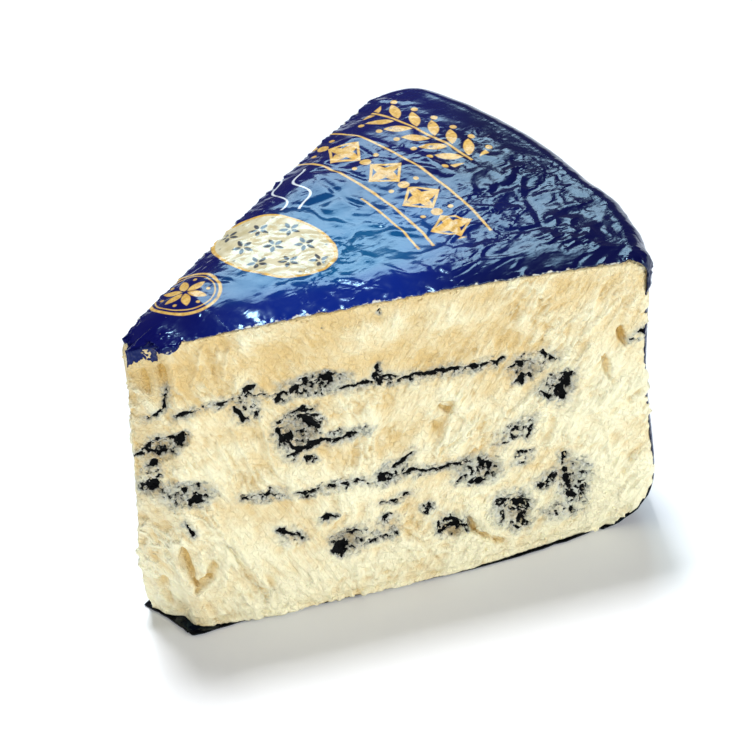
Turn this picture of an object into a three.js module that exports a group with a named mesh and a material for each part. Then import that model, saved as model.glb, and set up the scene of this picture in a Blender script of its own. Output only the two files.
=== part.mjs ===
// A wedge of soft blue cheese, cut from a small wheel, in the printed film that wraps the wheel.
// Millimetres, +Z up. +X runs from the blunt tip, near the wheel's axis, to the rim. The front cut faces -Y.
import * as THREE from 'three';

// Driving dimensions of the wheel and of the wedge cut from it
const wheelRadius = 100;
const wedgeAngle = THREE.MathUtils.degToRad(43.2);
const tipAlongFrontCut = 10.5;
const tipAlongBackCut = 6;
const heightAtTip = 64.4;
const heightAtRim = 60.8;
const topCrown = 1.6;
const cutEdgeDroop = 1.2;
const cutEdgeDroopWidth = 7;
const rimEdgeShare = 0.7;
const rimEdgeStart = 66;
const rimEdgeEnd = 92;
const backEdgeDip = 0.75;
const backEdgeDipWidth = 8;
const tipCornerDip = 3.4;
const tipCornerDipReach = 9;
const topSway = 0.35;
const topSwayLength = 11;
const topSwayTwist = 5;
const topSwayAcross = 4;
const topSwayPhase = 0.8;
const topSteadyFrom = 30;

// Rounding of the wedge's edges
const topShoulderRadius = 3.5;
const bottomRimRadius = 10.5;
const backCornerInset = 6.8;
const backCornerReach = 9;
const backCornerFade = 20;
const backCornerPower = 2.8;
const frontRimEdgeRadius = 1.4;
const tipEdgeRadius = 2.6;
const bottomCutEdgeReach = 2.2;
const bottomCutEdgeInset = 0.9;

// The soft paste has settled: the rim leans out below, and the cuts belly out near the foot
const rimSlump = 1.6;
const rimSwell = 1.1;
const frontSwell = 1.7;
const frontSwellMiddle = -0.255;
const frontSwellReach = 0.15;
const frontSwellBottom = 34;
const frontSwellTop = 54;
const rimSlumpTop = 40;
const bellyDepth = 4.2;
const bellyCentre = 30;
const bellyReach = 62;
const bellyHeight = 34;
const bellyShareOnBackCut = 0.6;
const tipWaver = 0.5;
const tipWaverLength = 9;
const tipWaverStart = 8;
const tipWaverFade = 6;

// The film, and the clearance between it and the paste
const filmThickness = 0.5;
const filmClearance = 0.3;
const filmFoldOverTip = 3.8;
const filmFoldEnd = 0.8;
const filmFoldLeast = 0.2;
const filmBeyondTip = 1.4;
const filmBeyondCut = 1.3;
const filmBeyondCutReach = 11;
const filmBeyondBackShare = 0.15;
const filmBelowBelly = 0.8;
const filmBelowCutRate = 2;
const cornerCrumpleHeight = 1.1;
const cornerCrumpleReach = 6;
const cornerCrumpleLift = 0.4;
const foldCrinkle = 0.3;
const foldCrinkleAcross = [9, 7];

// Counts of facets along the radius, up the height, across the wedge and along the film
const acrossSteps = 10;
const cheeseSteps = { radius: 50, height: 32 };
const filmSteps = { top: 22, shoulder: 4, rim: 8, foot: 5, bottom: 14 };
const crowdingAtCuts = 0.6;

// Mould lies in slanting layers, so a hollow is met higher and nearer the tip where the cut bellies out: by
// these shares of the belly
const hollowRise = 0.85;
const hollowShift = 0.22;

// Relief on a cut fades out within a quarter of the way across, and just below the film
const cutShareRate = 4;
const reliefFadeBelowFilm = 2;

const halfAngle = wedgeAngle / 2;
const floorOfPaste = filmThickness + filmClearance;
const shoulderStart = wheelRadius - rimSlump - topShoulderRadius;

// Outward directions of the two cuts, in plan
const frontNormal = new THREE.Vector2(-Math.sin(halfAngle), -Math.cos(halfAngle));
const backNormal = new THREE.Vector2(-Math.sin(halfAngle), Math.cos(halfAngle));

// Hollows in the front cut, where mould has opened the paste. Each is an ellipse: distance from the wheel's
// axis, height, half length, half height and depth.
const frontHollows = [
  { along: 34.3, up: 39.6, halfLength: 4.6, halfHeight: 4.6, depth: 2.4 },
  { along: 9.8, up: 41.8, halfLength: 3.2, halfHeight: 2.8, depth: 1.6 },
  { along: 13.6, up: 43.4, halfLength: 1.8, halfHeight: 2.2, depth: 1.6 },
  { along: 7.4, up: 34.0, halfLength: 2.6, halfHeight: 2.2, depth: 1.8 },
  { along: 13.6, up: 30.4, halfLength: 4.6, halfHeight: 3.0, depth: 1.5 },
  { along: 38.6, up: 50.0, halfLength: 5.6, halfHeight: 2.6, depth: 1.3 },
  { along: 23.6, up: 48.4, halfLength: 3.0, halfHeight: 2.4, depth: 1.1 },
  { along: 75.8, up: 42.4, halfLength: 3.6, halfHeight: 3.0, depth: 1.3 },
  { along: 82.4, up: 37.4, halfLength: 3.4, halfHeight: 3.0, depth: 1.4 },
  { along: 61.3, up: 38.2, halfLength: 2.4, halfHeight: 1.8, depth: 1.4 },
  { along: 68.6, up: 21.2, halfLength: 3.2, halfHeight: 2.6, depth: 1.6 },
  { along: 41.4, up: 11.8, halfLength: 3.8, halfHeight: 2.9, depth: 2.1 },
  { along: 61.4, up: 9.0, halfLength: 3.2, halfHeight: 2.2, depth: 1.8 },
  { along: 73.4, up: 10.0, halfLength: 3.4, halfHeight: 4.2, depth: 1.9 },
  { along: 83.4, up: 15.6, halfLength: 2.4, halfHeight: 5.0, depth: 1.6 },
];

// Knife gouges and smears: a groove, or a ridge where the depth is negative, between two points on the cut
const frontGouges = [
  { from: [12.1, 17.0], to: [14.2, 7.0], halfWidth: 2.8, depth: 2.0 },
  { from: [18.3, 23.7], to: [23.6, 9.5], halfWidth: 3.0, depth: -0.9 },
  { from: [12.6, 60.0], to: [13.8, 52.0], halfWidth: 3.0, depth: 1.1 },
  { from: [93.4, 47.4], to: [92.0, 36.5], halfWidth: 2.8, depth: 1.1 },
  { from: [64.0, 9.4], to: [68.6, 5.4], halfWidth: 2.6, depth: 1.3 },
];

// The hidden back cut is plainer, with the same two veins opened in a few places
const backHollows = [
  { along: 22, up: 48.6, halfLength: 4.2, halfHeight: 2.6, depth: 1.4 },
  { along: 46, up: 49.4, halfLength: 5.2, halfHeight: 2.8, depth: 1.5 },
  { along: 63, up: 36.0, halfLength: 4.4, halfHeight: 4.0, depth: 2.1 },
  { along: 30, up: 25.6, halfLength: 4.6, halfHeight: 2.8, depth: 1.6 },
  { along: 56, up: 14.0, halfLength: 3.6, halfHeight: 3.4, depth: 1.9 },
  { along: 78, up: 25.0, halfLength: 3.4, halfHeight: 4.2, depth: 1.6 },
];
const backGouges = [
  { from: [20, 18], to: [34, 9], halfWidth: 2.2, depth: 1.2 },
  { from: [78, 52], to: [86, 41], halfWidth: 2.0, depth: 1.0 },
];

const lerp = THREE.MathUtils.lerp;
const clamp = THREE.MathUtils.clamp;

// A smooth hump: 1 at zero distance, 0 from distance 1 on
function hump(distance) {
  const t = clamp(1 - distance * distance, 0, 1);
  return t * t * (3 - 2 * t);
}

// Rounds the corner between two faces. a and b are a point's distances inside them.
function roundCorner(a, b, radius) {
  if (a >= radius || b >= radius) {
    return [a, b];
  }
  const p = radius - a;
  const q = radius - b;
  const scale = Math.max(p, q) / Math.hypot(p, q);
  return [radius - p * scale, radius - q * scale];
}

// Distance from the wheel's axis to the blunt tip, along a direction of the wedge
function tipDistance(angle) {
  const front = new THREE.Vector2(Math.cos(halfAngle), -Math.sin(halfAngle)).multiplyScalar(tipAlongFrontCut);
  const back = new THREE.Vector2(Math.cos(halfAngle), Math.sin(halfAngle)).multiplyScalar(tipAlongBackCut);
  const facet = back.clone().sub(front);
  const ray = new THREE.Vector2(Math.cos(angle), Math.sin(angle));
  return front.cross(facet) / ray.cross(facet);
}

// Height of the paste's top: it falls from tip to rim, is crowned between them and droops at the two cuts,
// most along the back cut and at the tip's back corner
function topHeight(radius, angle) {
  const along = Math.min(radius, shoulderStart);
  const t = clamp((along - tipAlongFrontCut) / (shoulderStart - tipAlongFrontCut), 0, 1);
  const crown = topCrown * Math.sin(Math.PI * t);
  const fromCut = along * Math.sin(Math.max(halfAngle - Math.abs(angle), 0));
  const byRim = clamp((along - rimEdgeStart) / (rimEdgeEnd - rimEdgeStart), 0, 1);
  const edgeShare = clamp(1 - fromCut / cutEdgeDroopWidth, 0, 1) ** 2;
  const rise = cutEdgeDroop * (1 - (1 - rimEdgeShare * byRim) * edgeShare);
  const backShare = angle > 0 ? clamp(1 - fromCut / backEdgeDipWidth, 0, 1) ** 2 : 0;
  const backDip = backEdgeDip * backShare * (1 - byRim);
  const fromCorner = Math.hypot(
    along * Math.cos(angle) - tipAlongBackCut * Math.cos(halfAngle),
    along * Math.sin(angle) - tipAlongBackCut * Math.sin(halfAngle),
  );
  const cornerDip = tipCornerDip * clamp(1 - fromCorner / tipCornerDipReach, 0, 1) ** 2;
  const swayAlong = Math.sin(along / topSwayLength + topSwayTwist * angle);
  const sway = topSway * swayAlong * Math.sin(topSwayAcross * angle + topSwayPhase);
  const steady = hump(1 - clamp(along / topSteadyFrom, 0, 1));
  return lerp(heightAtTip, heightAtRim, t) + crown + (rise + sway - backDip) * steady - cornerDip;
}

// How far the rim stands out at a height: straight above, leaning out below
function rimRadiusAt(height) {
  const t = clamp((rimSlumpTop - height) / (rimSlumpTop - bottomRimRadius), 0, 1);
  return wheelRadius - rimSlump + rimSlump * t * t * (3 - 2 * t);
}

// How far the rounded foot and shoulder pull the rim in at a height
function rimInset(height, top, growth) {
  const foot = bottomRimRadius + growth;
  const shoulder = topShoulderRadius + growth;
  const intoFoot = clamp((floorOfPaste - growth + foot - height) / foot, 0, 1);
  const intoShoulder = clamp((height - (top + growth - shoulder)) / shoulder, 0, 1);
  return foot * (1 - Math.sqrt(1 - intoFoot * intoFoot))
    + shoulder * (1 - Math.sqrt(1 - intoShoulder * intoShoulder));
}

// Takes a point on a section of the wheel, its radius and height, and its direction, to its place in the
// wedge. The rim swells between the cuts, most near the top by the front cut, draws in towards the back cut,
// and the upright edges are rounded. growth is how far the surface stands off the paste.
function placeInWedge(radius, height, angle, growth) {
  const rim = rimRadiusAt(height) + growth - rimInset(height, topHeight(radius, angle), growth);
  const tip = tipDistance(angle) - growth;
  let inside = rim - radius;
  let fromTip = radius - tip;
  let fromFront = radius * Math.sin(halfAngle + angle);
  let fromBack = radius * Math.sin(halfAngle - angle);
  if (fromTip > inside) {
    [inside, fromFront] = roundCorner(inside, fromFront, frontRimEdgeRadius + growth);
  } else {
    [fromTip, fromFront] = roundCorner(fromTip, fromFront, tipEdgeRadius + growth);
    [fromTip, fromBack] = roundCorner(fromTip, fromBack, tipEdgeRadius + growth);
    inside = rim - tip - fromTip;
  }
  let placed = rim - inside;
  const turned = angle < 0
    ? Math.asin(fromFront / placed) - halfAngle
    : halfAngle - Math.asin(fromBack / placed);
  const nearRim = hump(clamp(inside / backCornerFade, 0, 1));
  const backCorner = backCornerInset * clamp(1 - fromBack / backCornerReach, 0, 1) ** backCornerPower;
  const upRim = clamp((height - frontSwellBottom) / (frontSwellTop - frontSwellBottom), 0, 1);
  const byFront = hump((angle - frontSwellMiddle) / frontSwellReach);
  const swell = rimSwell * (1 - (angle / halfAngle) ** 2) + frontSwell * byFront * upRim;
  placed += (swell - backCorner) * nearRim;
  return new THREE.Vector3(placed * Math.cos(turned), placed * Math.sin(turned), height);
}

// The grid across the wedge crowds towards the two cuts, where the top droops
function angleAt(v) {
  return lerp(-halfAngle, halfAngle, v - (crowdingAtCuts * Math.sin(2 * Math.PI * v)) / (2 * Math.PI));
}

// Depth of a cut's hollows and gouges at a point of the cut
function reliefDepth(along, up, hollows, gouges) {
  let depth = 0;
  for (const hollow of hollows) {
    const sideways = (along - hollow.along) / hollow.halfLength;
    const upwards = (up - hollow.up) / hollow.halfHeight;
    depth += hollow.depth * hump(Math.hypot(sideways, upwards));
  }
  for (const gouge of gouges) {
    const start = new THREE.Vector2(...gouge.from);
    const run = new THREE.Vector2(...gouge.to).sub(start);
    const offset = new THREE.Vector2(along, up).sub(start);
    const t = clamp(offset.dot(run) / run.lengthSq(), 0, 1);
    depth += gouge.depth * hump(offset.distanceTo(run.multiplyScalar(t)) / gouge.halfWidth);
  }
  return depth;
}

// How far the front cut bellies out at a point of it
function belly(along, up) {
  const t = clamp(1 - up / bellyHeight, 0, 1);
  return bellyDepth * t * Math.sqrt(t) * hump((along - bellyCentre) / bellyReach);
}

// One point of the paste, from its place in a unit box: u along the radius, v across, w up
function pastePoint(u, v, w) {
  const angle = angleAt(v);
  let radius = lerp(tipDistance(angle), wheelRadius, u);
  const top = topHeight(radius, angle);
  let height = lerp(floorOfPaste, top, w);
  let inside = wheelRadius - radius;
  [inside, height] = roundCorner(inside, height - floorOfPaste, bottomRimRadius);
  height += floorOfPaste;
  let below = top - height;
  [inside, below] = roundCorner(inside, below, topShoulderRadius);
  height = top - below;
  radius = wheelRadius - inside - (wheelRadius - rimRadiusAt(height)) * u;
  const point = placeInWedge(radius, height, angle, 0);

  // belly, relief and rounded foot of each cut, fading out behind its face
  const swelling = belly(radius, height);
  const foot = bottomCutEdgeInset * hump((height - floorOfPaste) / bottomCutEdgeReach);
  const belowFilm = 1 - hump((height - top) / reliefFadeBelowFilm);
  const along = radius + hollowShift * swelling;
  const up = height - hollowRise * swelling;
  const frontRelief = belowFilm * reliefDepth(along, up, frontHollows, frontGouges);
  const backRelief = belowFilm * reliefDepth(along, up, backHollows, backGouges);
  const front = (swelling - frontRelief - foot) * hump(v * cutShareRate);
  const back = (swelling * bellyShareOnBackCut - backRelief - foot) * hump((1 - v) * cutShareRate);
  point.x += frontNormal.x * front + backNormal.x * back;
  point.y += frontNormal.y * front + backNormal.y * back;

  // the tip face wavers a little from top to bottom
  point.x -= tipWaver * hump(tipWaverFade * u) * Math.sin((height - tipWaverStart) / tipWaverLength);
  return point;
}

// The film's path in a section of the wheel: from the fold over the tip, along the top, round the shoulder,
// down the rim, round the foot and back below the wedge to just past the tip. Each stop has the radius and
// height of the paste there and the outward direction.
function filmStops(angle) {
  const stops = [];
  const tip = tipDistance(angle);
  const topEdge = topHeight(tip, angle);
  const footStart = wheelRadius - bottomRimRadius;

  const fold = filmFoldOverTip * lerp(filmFoldLeast, 1, hump(Math.max(angle / halfAngle, 0) / filmFoldEnd));
  stops.push({ radius: tip, height: topEdge - fold, out: [-1, 0] });
  stops.push({ radius: tip, height: topEdge - fold / 2, out: [-1, 0] });
  for (let i = 0; i <= filmSteps.top; i += 1) {
    const radius = lerp(tip, shoulderStart, i / filmSteps.top);
    stops.push({ radius, height: topHeight(radius, angle), out: i === 0 ? [-1, 1] : [0, 1] });
  }
  const shoulderHeight = topHeight(shoulderStart, angle) - topShoulderRadius;
  for (let i = 1; i <= filmSteps.shoulder; i += 1) {
    const turn = (Math.PI / 2) * (i / filmSteps.shoulder);
    stops.push({
      radius: shoulderStart + topShoulderRadius * Math.sin(turn),
      height: shoulderHeight + topShoulderRadius * Math.cos(turn),
      out: [Math.sin(turn), Math.cos(turn)],
    });
  }
  const footHeight = floorOfPaste + bottomRimRadius;
  for (let i = 1; i <= filmSteps.rim; i += 1) {
    const height = lerp(shoulderHeight, footHeight, i / filmSteps.rim);
    stops.push({ radius: rimRadiusAt(height), height, out: [1, 0] });
  }
  for (let i = 1; i <= filmSteps.foot; i += 1) {
    const turn = (Math.PI / 2) * (i / filmSteps.foot);
    stops.push({
      radius: footStart + bottomRimRadius * Math.cos(turn),
      height: footHeight - bottomRimRadius * Math.sin(turn),
      out: [Math.cos(turn), -Math.sin(turn)],
    });
  }
  for (let i = 1; i <= filmSteps.bottom; i += 1) {
    const pastTip = (filmBeyondTip * (1 - angle / halfAngle)) / 2;
    const radius = lerp(footStart, tip - pastTip, i / filmSteps.bottom);
    stops.push({ radius, height: floorOfPaste, out: [0, -1] });
  }
  return stops;
}

// One point of the film: along its path, across the wedge, and through its thickness
function filmPoint(step, v, layer) {
  const angle = angleAt(v);
  const stop = filmStops(angle)[step];
  const growth = filmClearance + filmThickness * layer;
  const radius = stop.radius + stop.out[0] * growth;
  const height = stop.height + stop.out[1] * growth;
  const point = placeInWedge(radius, height, angle, growth);

  // below the wedge the film follows the belly of each cut, and near the tip it runs out past the cuts
  const isBottom = stop.out[1] === -1;
  if (isBottom) {
    const past = filmBeyondCut * hump((radius - tipAlongFrontCut) / filmBeyondCutReach);
    const swelling = filmBelowBelly * belly(radius, floorOfPaste);
    const front = (past + swelling) * hump(v * filmBelowCutRate);
    const pastBack = past * filmBeyondBackShare;
    const back = (pastBack + swelling * bellyShareOnBackCut) * hump((1 - v) * filmBelowCutRate);
    point.x += frontNormal.x * front + backNormal.x * back;
    point.y += frontNormal.y * front + backNormal.y * back;
  }

  // a crumple where the shoulder meets the front cut, and a softer one in the fold over the tip
  const shoulder = new THREE.Vector2(wheelRadius - rimSlump, heightAtRim - topShoulderRadius / 2);
  const fromShoulder = shoulder.distanceTo(new THREE.Vector2(stop.radius, stop.height));
  const fromCorner = Math.hypot(fromShoulder, radius * v * wedgeAngle);
  const crumple = cornerCrumpleHeight * hump(fromCorner / cornerCrumpleReach);
  const [firstRate, secondRate] = foldCrinkleAcross;
  const folds = Math.abs(Math.sin(firstRate * v) * Math.sin(secondRate * v + height));
  const crinkle = stop.out[0] === -1 ? foldCrinkle * folds : 0;
  point.x += stop.out[0] * (crumple + crinkle);
  point.z += Math.max(stop.out[1], 0) * crumple * cornerCrumpleLift;
  return point;
}

// The segmented unit box gives every face of a closed body its grid. Its corners, counted from the box's
// lowest corner, move to the mapped points.
function mappedBox(steps, mapPoint) {
  const geometry = new THREE.BoxGeometry(1, 1, 1, ...steps);
  geometry.deleteAttribute('uv');
  geometry.deleteAttribute('normal');
  const position = geometry.getAttribute('position');
  for (let i = 0; i < position.count; i += 1) {
    const mapped = mapPoint(position.getX(i) + 0.5, position.getY(i) + 0.5, position.getZ(i) + 0.5);
    position.setXYZ(i, mapped.x, mapped.y, mapped.z);
  }
  geometry.computeVertexNormals();
  return geometry;
}

function makeCheese() {
  const material = new THREE.MeshStandardMaterial({ color: 0xecdcb0, roughness: 0.55, metalness: 0 });
  const steps = [cheeseSteps.radius, acrossSteps, cheeseSteps.height];
  const cheese = new THREE.Mesh(mappedBox(steps, pastePoint), material);
  cheese.name = 'cheese';
  return cheese;
}

function makeWrapper() {
  const material = new THREE.MeshStandardMaterial({ color: 0x0a1478, roughness: 0.22, metalness: 0 });
  const lastStop = filmStops(0).length - 1;
  const geometry = mappedBox([lastStop, acrossSteps, 1], (u, v, layer) => (
    filmPoint(Math.round(u * lastStop), v, layer)
  ));
  const wrapper = new THREE.Mesh(geometry, material);
  wrapper.name = 'wrapper';
  return wrapper;
}

// The origin lies under the middle of the wedge, on the surface that it stands on
const wedge = new THREE.Group();
wedge.add(makeCheese(), makeWrapper());
const extent = new THREE.Box3().setFromObject(wedge);
const middle = extent.getCenter(new THREE.Vector3());
wedge.position.set(-middle.x, -middle.y, -extent.min.z);
wedge.updateMatrixWorld(true);

export default wedge;
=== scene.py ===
"""A wedge of soft blue cheese, cut from a small wheel, in the printed film that wraps the wheel.

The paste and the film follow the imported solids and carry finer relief. Shapes are worked out in millimetres,
in wheel coordinates: the wheel's axis is upright at the origin, the front cut lies at minus half the wedge's
angle and the back cut at plus half. A mesh is moved to its place in the frame, in metres, when it is made.
"""

import math

import bpy
import numpy as np
from mathutils import Matrix, Vector


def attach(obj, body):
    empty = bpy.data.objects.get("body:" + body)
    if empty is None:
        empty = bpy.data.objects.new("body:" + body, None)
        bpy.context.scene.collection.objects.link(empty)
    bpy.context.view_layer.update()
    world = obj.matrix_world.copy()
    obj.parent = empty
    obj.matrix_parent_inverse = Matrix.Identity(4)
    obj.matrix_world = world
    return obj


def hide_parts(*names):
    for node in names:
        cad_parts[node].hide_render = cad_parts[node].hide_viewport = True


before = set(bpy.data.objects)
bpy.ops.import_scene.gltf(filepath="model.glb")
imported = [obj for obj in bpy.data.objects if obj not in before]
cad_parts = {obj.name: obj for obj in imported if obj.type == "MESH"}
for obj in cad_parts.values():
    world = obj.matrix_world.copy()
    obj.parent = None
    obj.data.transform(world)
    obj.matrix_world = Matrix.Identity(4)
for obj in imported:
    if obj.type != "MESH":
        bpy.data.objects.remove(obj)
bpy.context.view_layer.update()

MM = 0.001
WHEEL_AXIS = (-53.728, 0.836)

# The wheel and the wedge cut from it
WHEEL_RADIUS = 100.0
HALF_ANGLE = math.radians(43.2) / 2
TIP_ALONG_FRONT_CUT = 10.5
TIP_ALONG_BACK_CUT = 6.0
HEIGHT_AT_TIP = 64.4
HEIGHT_AT_RIM = 60.8
TOP_CROWN = 1.6
CUT_EDGE_DROOP = 1.2
CUT_EDGE_DROOP_WIDTH = 7.0
RIM_EDGE_SHARE = 0.7
RIM_EDGE_START = 66.0
RIM_EDGE_END = 92.0
BACK_EDGE_DIP = 0.75
BACK_EDGE_DIP_WIDTH = 8.0
TIP_CORNER_DIP = 3.4
TIP_CORNER_DIP_REACH = 9.0
TOP_SWAY = 0.35
TOP_SWAY_LENGTH = 11.0
TOP_STEADY_FROM = 30.0
TOP_SHOULDER = 3.5
BOTTOM_RIM = 10.5
BACK_CORNER_INSET = 6.8
BACK_CORNER_REACH = 9.0
BACK_CORNER_FADE = 20.0
BACK_CORNER_POWER = 2.8
FRONT_RIM_EDGE = 1.4
TIP_EDGE = 2.6
BOTTOM_CUT_REACH = 2.2
BOTTOM_CUT_INSET = 0.9
RIM_SLUMP = 1.6
RIM_SWELL = 1.1
FRONT_SWELL = 1.7
FRONT_SWELL_MIDDLE = -0.255
FRONT_SWELL_REACH = 0.15
FRONT_SWELL_FROM = 34.0
FRONT_SWELL_RISE = 20.0
RIM_SLUMP_TOP = 40.0
BELLY_DEPTH = 4.2
BELLY_CENTRE = 30.0
BELLY_REACH = 62.0
BELLY_HEIGHT = 34.0
BELLY_SHARE_ON_BACK = 0.6
TIP_WAVER = 0.5
TIP_WAVER_LENGTH = 9.0
TIP_WAVER_START = 8.0
FLOOR_OF_PASTE = 0.8
SHOULDER_START = WHEEL_RADIUS - RIM_SLUMP - TOP_SHOULDER
CROWDING_AT_CUTS = 0.6

# The film: how far it stands off the paste, and its folds
PASTE_LIFT = 0.35
FILM_STAND = 0.62
FILM_THICKNESS = 0.24
FOLD_OVER_TIP = 2.5
FOLD_FULL = 0.05
FOLD_NONE = 0.30
FOLD_LEAST = 0.1
DRAWN_BACK = 3.8
DRAWN_BACK_FULL = 0.9
DRAPE_DOWN = 1.5
DRAPE_REACH = 5.0
DRAPE_WIDTH = 1.2
DRAPE_OUT = 0.75
BELOW_BELLY = 0.8
BASE_TUCK = 0.85
FOOT_DRAWN_IN = 1.2
FOOT_DRAWN_IN_BELOW = 16.0
BASE_DRAWN_IN = 0.9
BEYOND_TIP = 0.6
BEYOND_CUT = 0.8
BEYOND_CUT_REACH = 11.0
BEYOND_BACK_SHARE = 0.15

FRONT_NORMAL = np.array([-math.sin(HALF_ANGLE), -math.cos(HALF_ANGLE), 0.0])
BACK_NORMAL = np.array([-math.sin(HALF_ANGLE), math.cos(HALF_ANGLE), 0.0])

# The veins run through the paste at a slant: this far along and up the cut for each millimetre of depth
SLANT_ALONG = -0.2226
SLANT_UP = 0.8545


def hump(distance):
    """1 at zero distance, falling smoothly to 0 at distance 1 and beyond."""
    t = np.clip(1 - distance * distance, 0, 1)
    return t * t * (3 - 2 * t)


def ramp(low, high, value):
    """0 on the low side, 1 on the high side, and smooth between them."""
    t = np.clip((value - low) / (high - low), 0, 1)
    return t * t * (3 - 2 * t)


def lerp(low, high, share):
    """The value that lies at a share of the way from low to high."""
    return low + (high - low) * share


class Grain:
    """Smooth seeded noise in space, between about -1 and 1."""

    def __init__(self, seed):
        draw = np.random.default_rng(seed)
        self.order = draw.permutation(256)
        slopes = draw.normal(size=(256, 3))
        self.slopes = slopes / np.linalg.norm(slopes, axis=1, keepdims=True)

    def __call__(self, x, y, z=0.0):
        place = np.stack(np.broadcast_arrays(x, y, z), axis=-1).astype(float)
        cell = np.floor(place).astype(int)
        inside = place - cell
        fade = inside**3 * (inside * (inside * 6 - 15) + 10)
        total = np.zeros(place.shape[:-1])
        for corner in np.ndindex(2, 2, 2):
            near = (cell + corner) & 255
            pick = self.order[near[..., 0]]
            pick = self.order[(pick + near[..., 1]) & 255]
            pick = self.order[(pick + near[..., 2]) & 255]
            weight = np.prod(np.where(corner, fade, 1 - fade), axis=-1)
            total += weight * np.sum(self.slopes[pick] * (inside - corner), axis=-1)
        return total * 1.6

    def layers(self, x, y, z=0.0, count=3, share=0.5):
        """Noise in layers, each twice as fine as the last."""
        total = 0.0
        weight = 1.0
        for layer in range(count):
            total = total + weight * self(x * 2**layer + 17 * layer, y * 2**layer, z * 2**layer)
            weight *= share
        return total


class Facets:
    """Cells round scattered points, one in each unit cell, with straight borders between them."""

    def __init__(self, seed):
        draw = np.random.default_rng(seed)
        self.order = draw.permutation(256)
        self.spots = draw.uniform(0.05, 0.95, size=(256, 3))

    def __call__(self, x, y, z=0.0):
        """Distance to the nearest scattered point, and how much farther the second nearest is."""
        place = np.stack(np.broadcast_arrays(x, y, z), axis=-1).astype(float)
        cell = np.floor(place).astype(int)
        nearest = np.full(place.shape[:-1], 9.0)
        second = nearest.copy()
        for step in np.ndindex(3, 3, 3):
            corner = cell + np.array(step) - 1
            near = corner & 255
            pick = self.order[near[..., 0]]
            pick = self.order[(pick + near[..., 1]) & 255]
            pick = self.order[(pick + near[..., 2]) & 255]
            gap = corner + self.spots[pick] - place
            distance = np.sum(gap * gap, axis=-1)
            second = np.minimum(second, np.maximum(nearest, distance))
            nearest = np.minimum(nearest, distance)
        return np.sqrt(nearest), np.sqrt(second) - np.sqrt(nearest)


def round_corner(a, b, radius):
    """Rounds the corner between two faces. a and b are distances inside them."""
    p = np.maximum(radius - a, 0)
    q = np.maximum(radius - b, 0)
    scale = np.where((p > 0) & (q > 0), np.maximum(p, q) / np.maximum(np.hypot(p, q), 1e-9), 1.0)
    return np.where(p > 0, radius - p * scale, a), np.where(q > 0, radius - q * scale, b)


def tip_distance(angle):
    """Distance from the wheel's axis to the blunt tip, along a direction of the wedge."""
    front = TIP_ALONG_FRONT_CUT * np.array([math.cos(HALF_ANGLE), -math.sin(HALF_ANGLE)])
    back = TIP_ALONG_BACK_CUT * np.array([math.cos(HALF_ANGLE), math.sin(HALF_ANGLE)])
    facet = back - front
    across = front[0] * facet[1] - front[1] * facet[0]
    return across / (np.cos(angle) * facet[1] - np.sin(angle) * facet[0])


def top_height(radius, angle):
    """Height of the paste's top: crowned between tip and rim, drooping at the two cuts, most at the back."""
    along = np.minimum(radius, SHOULDER_START)
    t = np.clip((along - TIP_ALONG_FRONT_CUT) / (SHOULDER_START - TIP_ALONG_FRONT_CUT), 0, 1)
    crown = TOP_CROWN * np.sin(np.pi * t)
    from_cut = along * np.sin(np.maximum(HALF_ANGLE - np.abs(angle), 0))
    by_rim = np.clip((along - RIM_EDGE_START) / (RIM_EDGE_END - RIM_EDGE_START), 0, 1)
    edge_share = np.clip(1 - from_cut / CUT_EDGE_DROOP_WIDTH, 0, 1) ** 2
    rise = CUT_EDGE_DROOP * (1 - (1 - RIM_EDGE_SHARE * by_rim) * edge_share)
    back_share = np.where(angle > 0, np.clip(1 - from_cut / BACK_EDGE_DIP_WIDTH, 0, 1) ** 2, 0)
    back_dip = BACK_EDGE_DIP * back_share * (1 - by_rim)
    from_corner = np.hypot(
        along * np.cos(angle) - TIP_ALONG_BACK_CUT * math.cos(HALF_ANGLE),
        along * np.sin(angle) - TIP_ALONG_BACK_CUT * math.sin(HALF_ANGLE),
    )
    corner_dip = TIP_CORNER_DIP * np.clip(1 - from_corner / TIP_CORNER_DIP_REACH, 0, 1) ** 2
    sway = TOP_SWAY * np.sin(along / TOP_SWAY_LENGTH + 5 * angle) * np.sin(4 * angle + 0.8)
    steady = hump(1 - np.clip(along / TOP_STEADY_FROM, 0, 1))
    return lerp(HEIGHT_AT_TIP, HEIGHT_AT_RIM, t) + crown + (rise + sway - back_dip) * steady - corner_dip


def rim_radius(height):
    """How far the rim stands out at a height: straight above, leaning out below."""
    return WHEEL_RADIUS - RIM_SLUMP + RIM_SLUMP * ramp(RIM_SLUMP_TOP, BOTTOM_RIM, height)


def rim_inset(height, top, growth):
    """How far the rounded foot and shoulder pull the rim in at a height."""
    foot = BOTTOM_RIM + growth
    shoulder = TOP_SHOULDER + growth
    into_foot = np.clip((FLOOR_OF_PASTE - growth + foot - height) / foot, 0, 1)
    into_shoulder = np.clip((height - (top + growth - shoulder)) / shoulder, 0, 1)
    return foot * (1 - np.sqrt(1 - into_foot**2)) + shoulder * (1 - np.sqrt(1 - into_shoulder**2))


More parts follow.
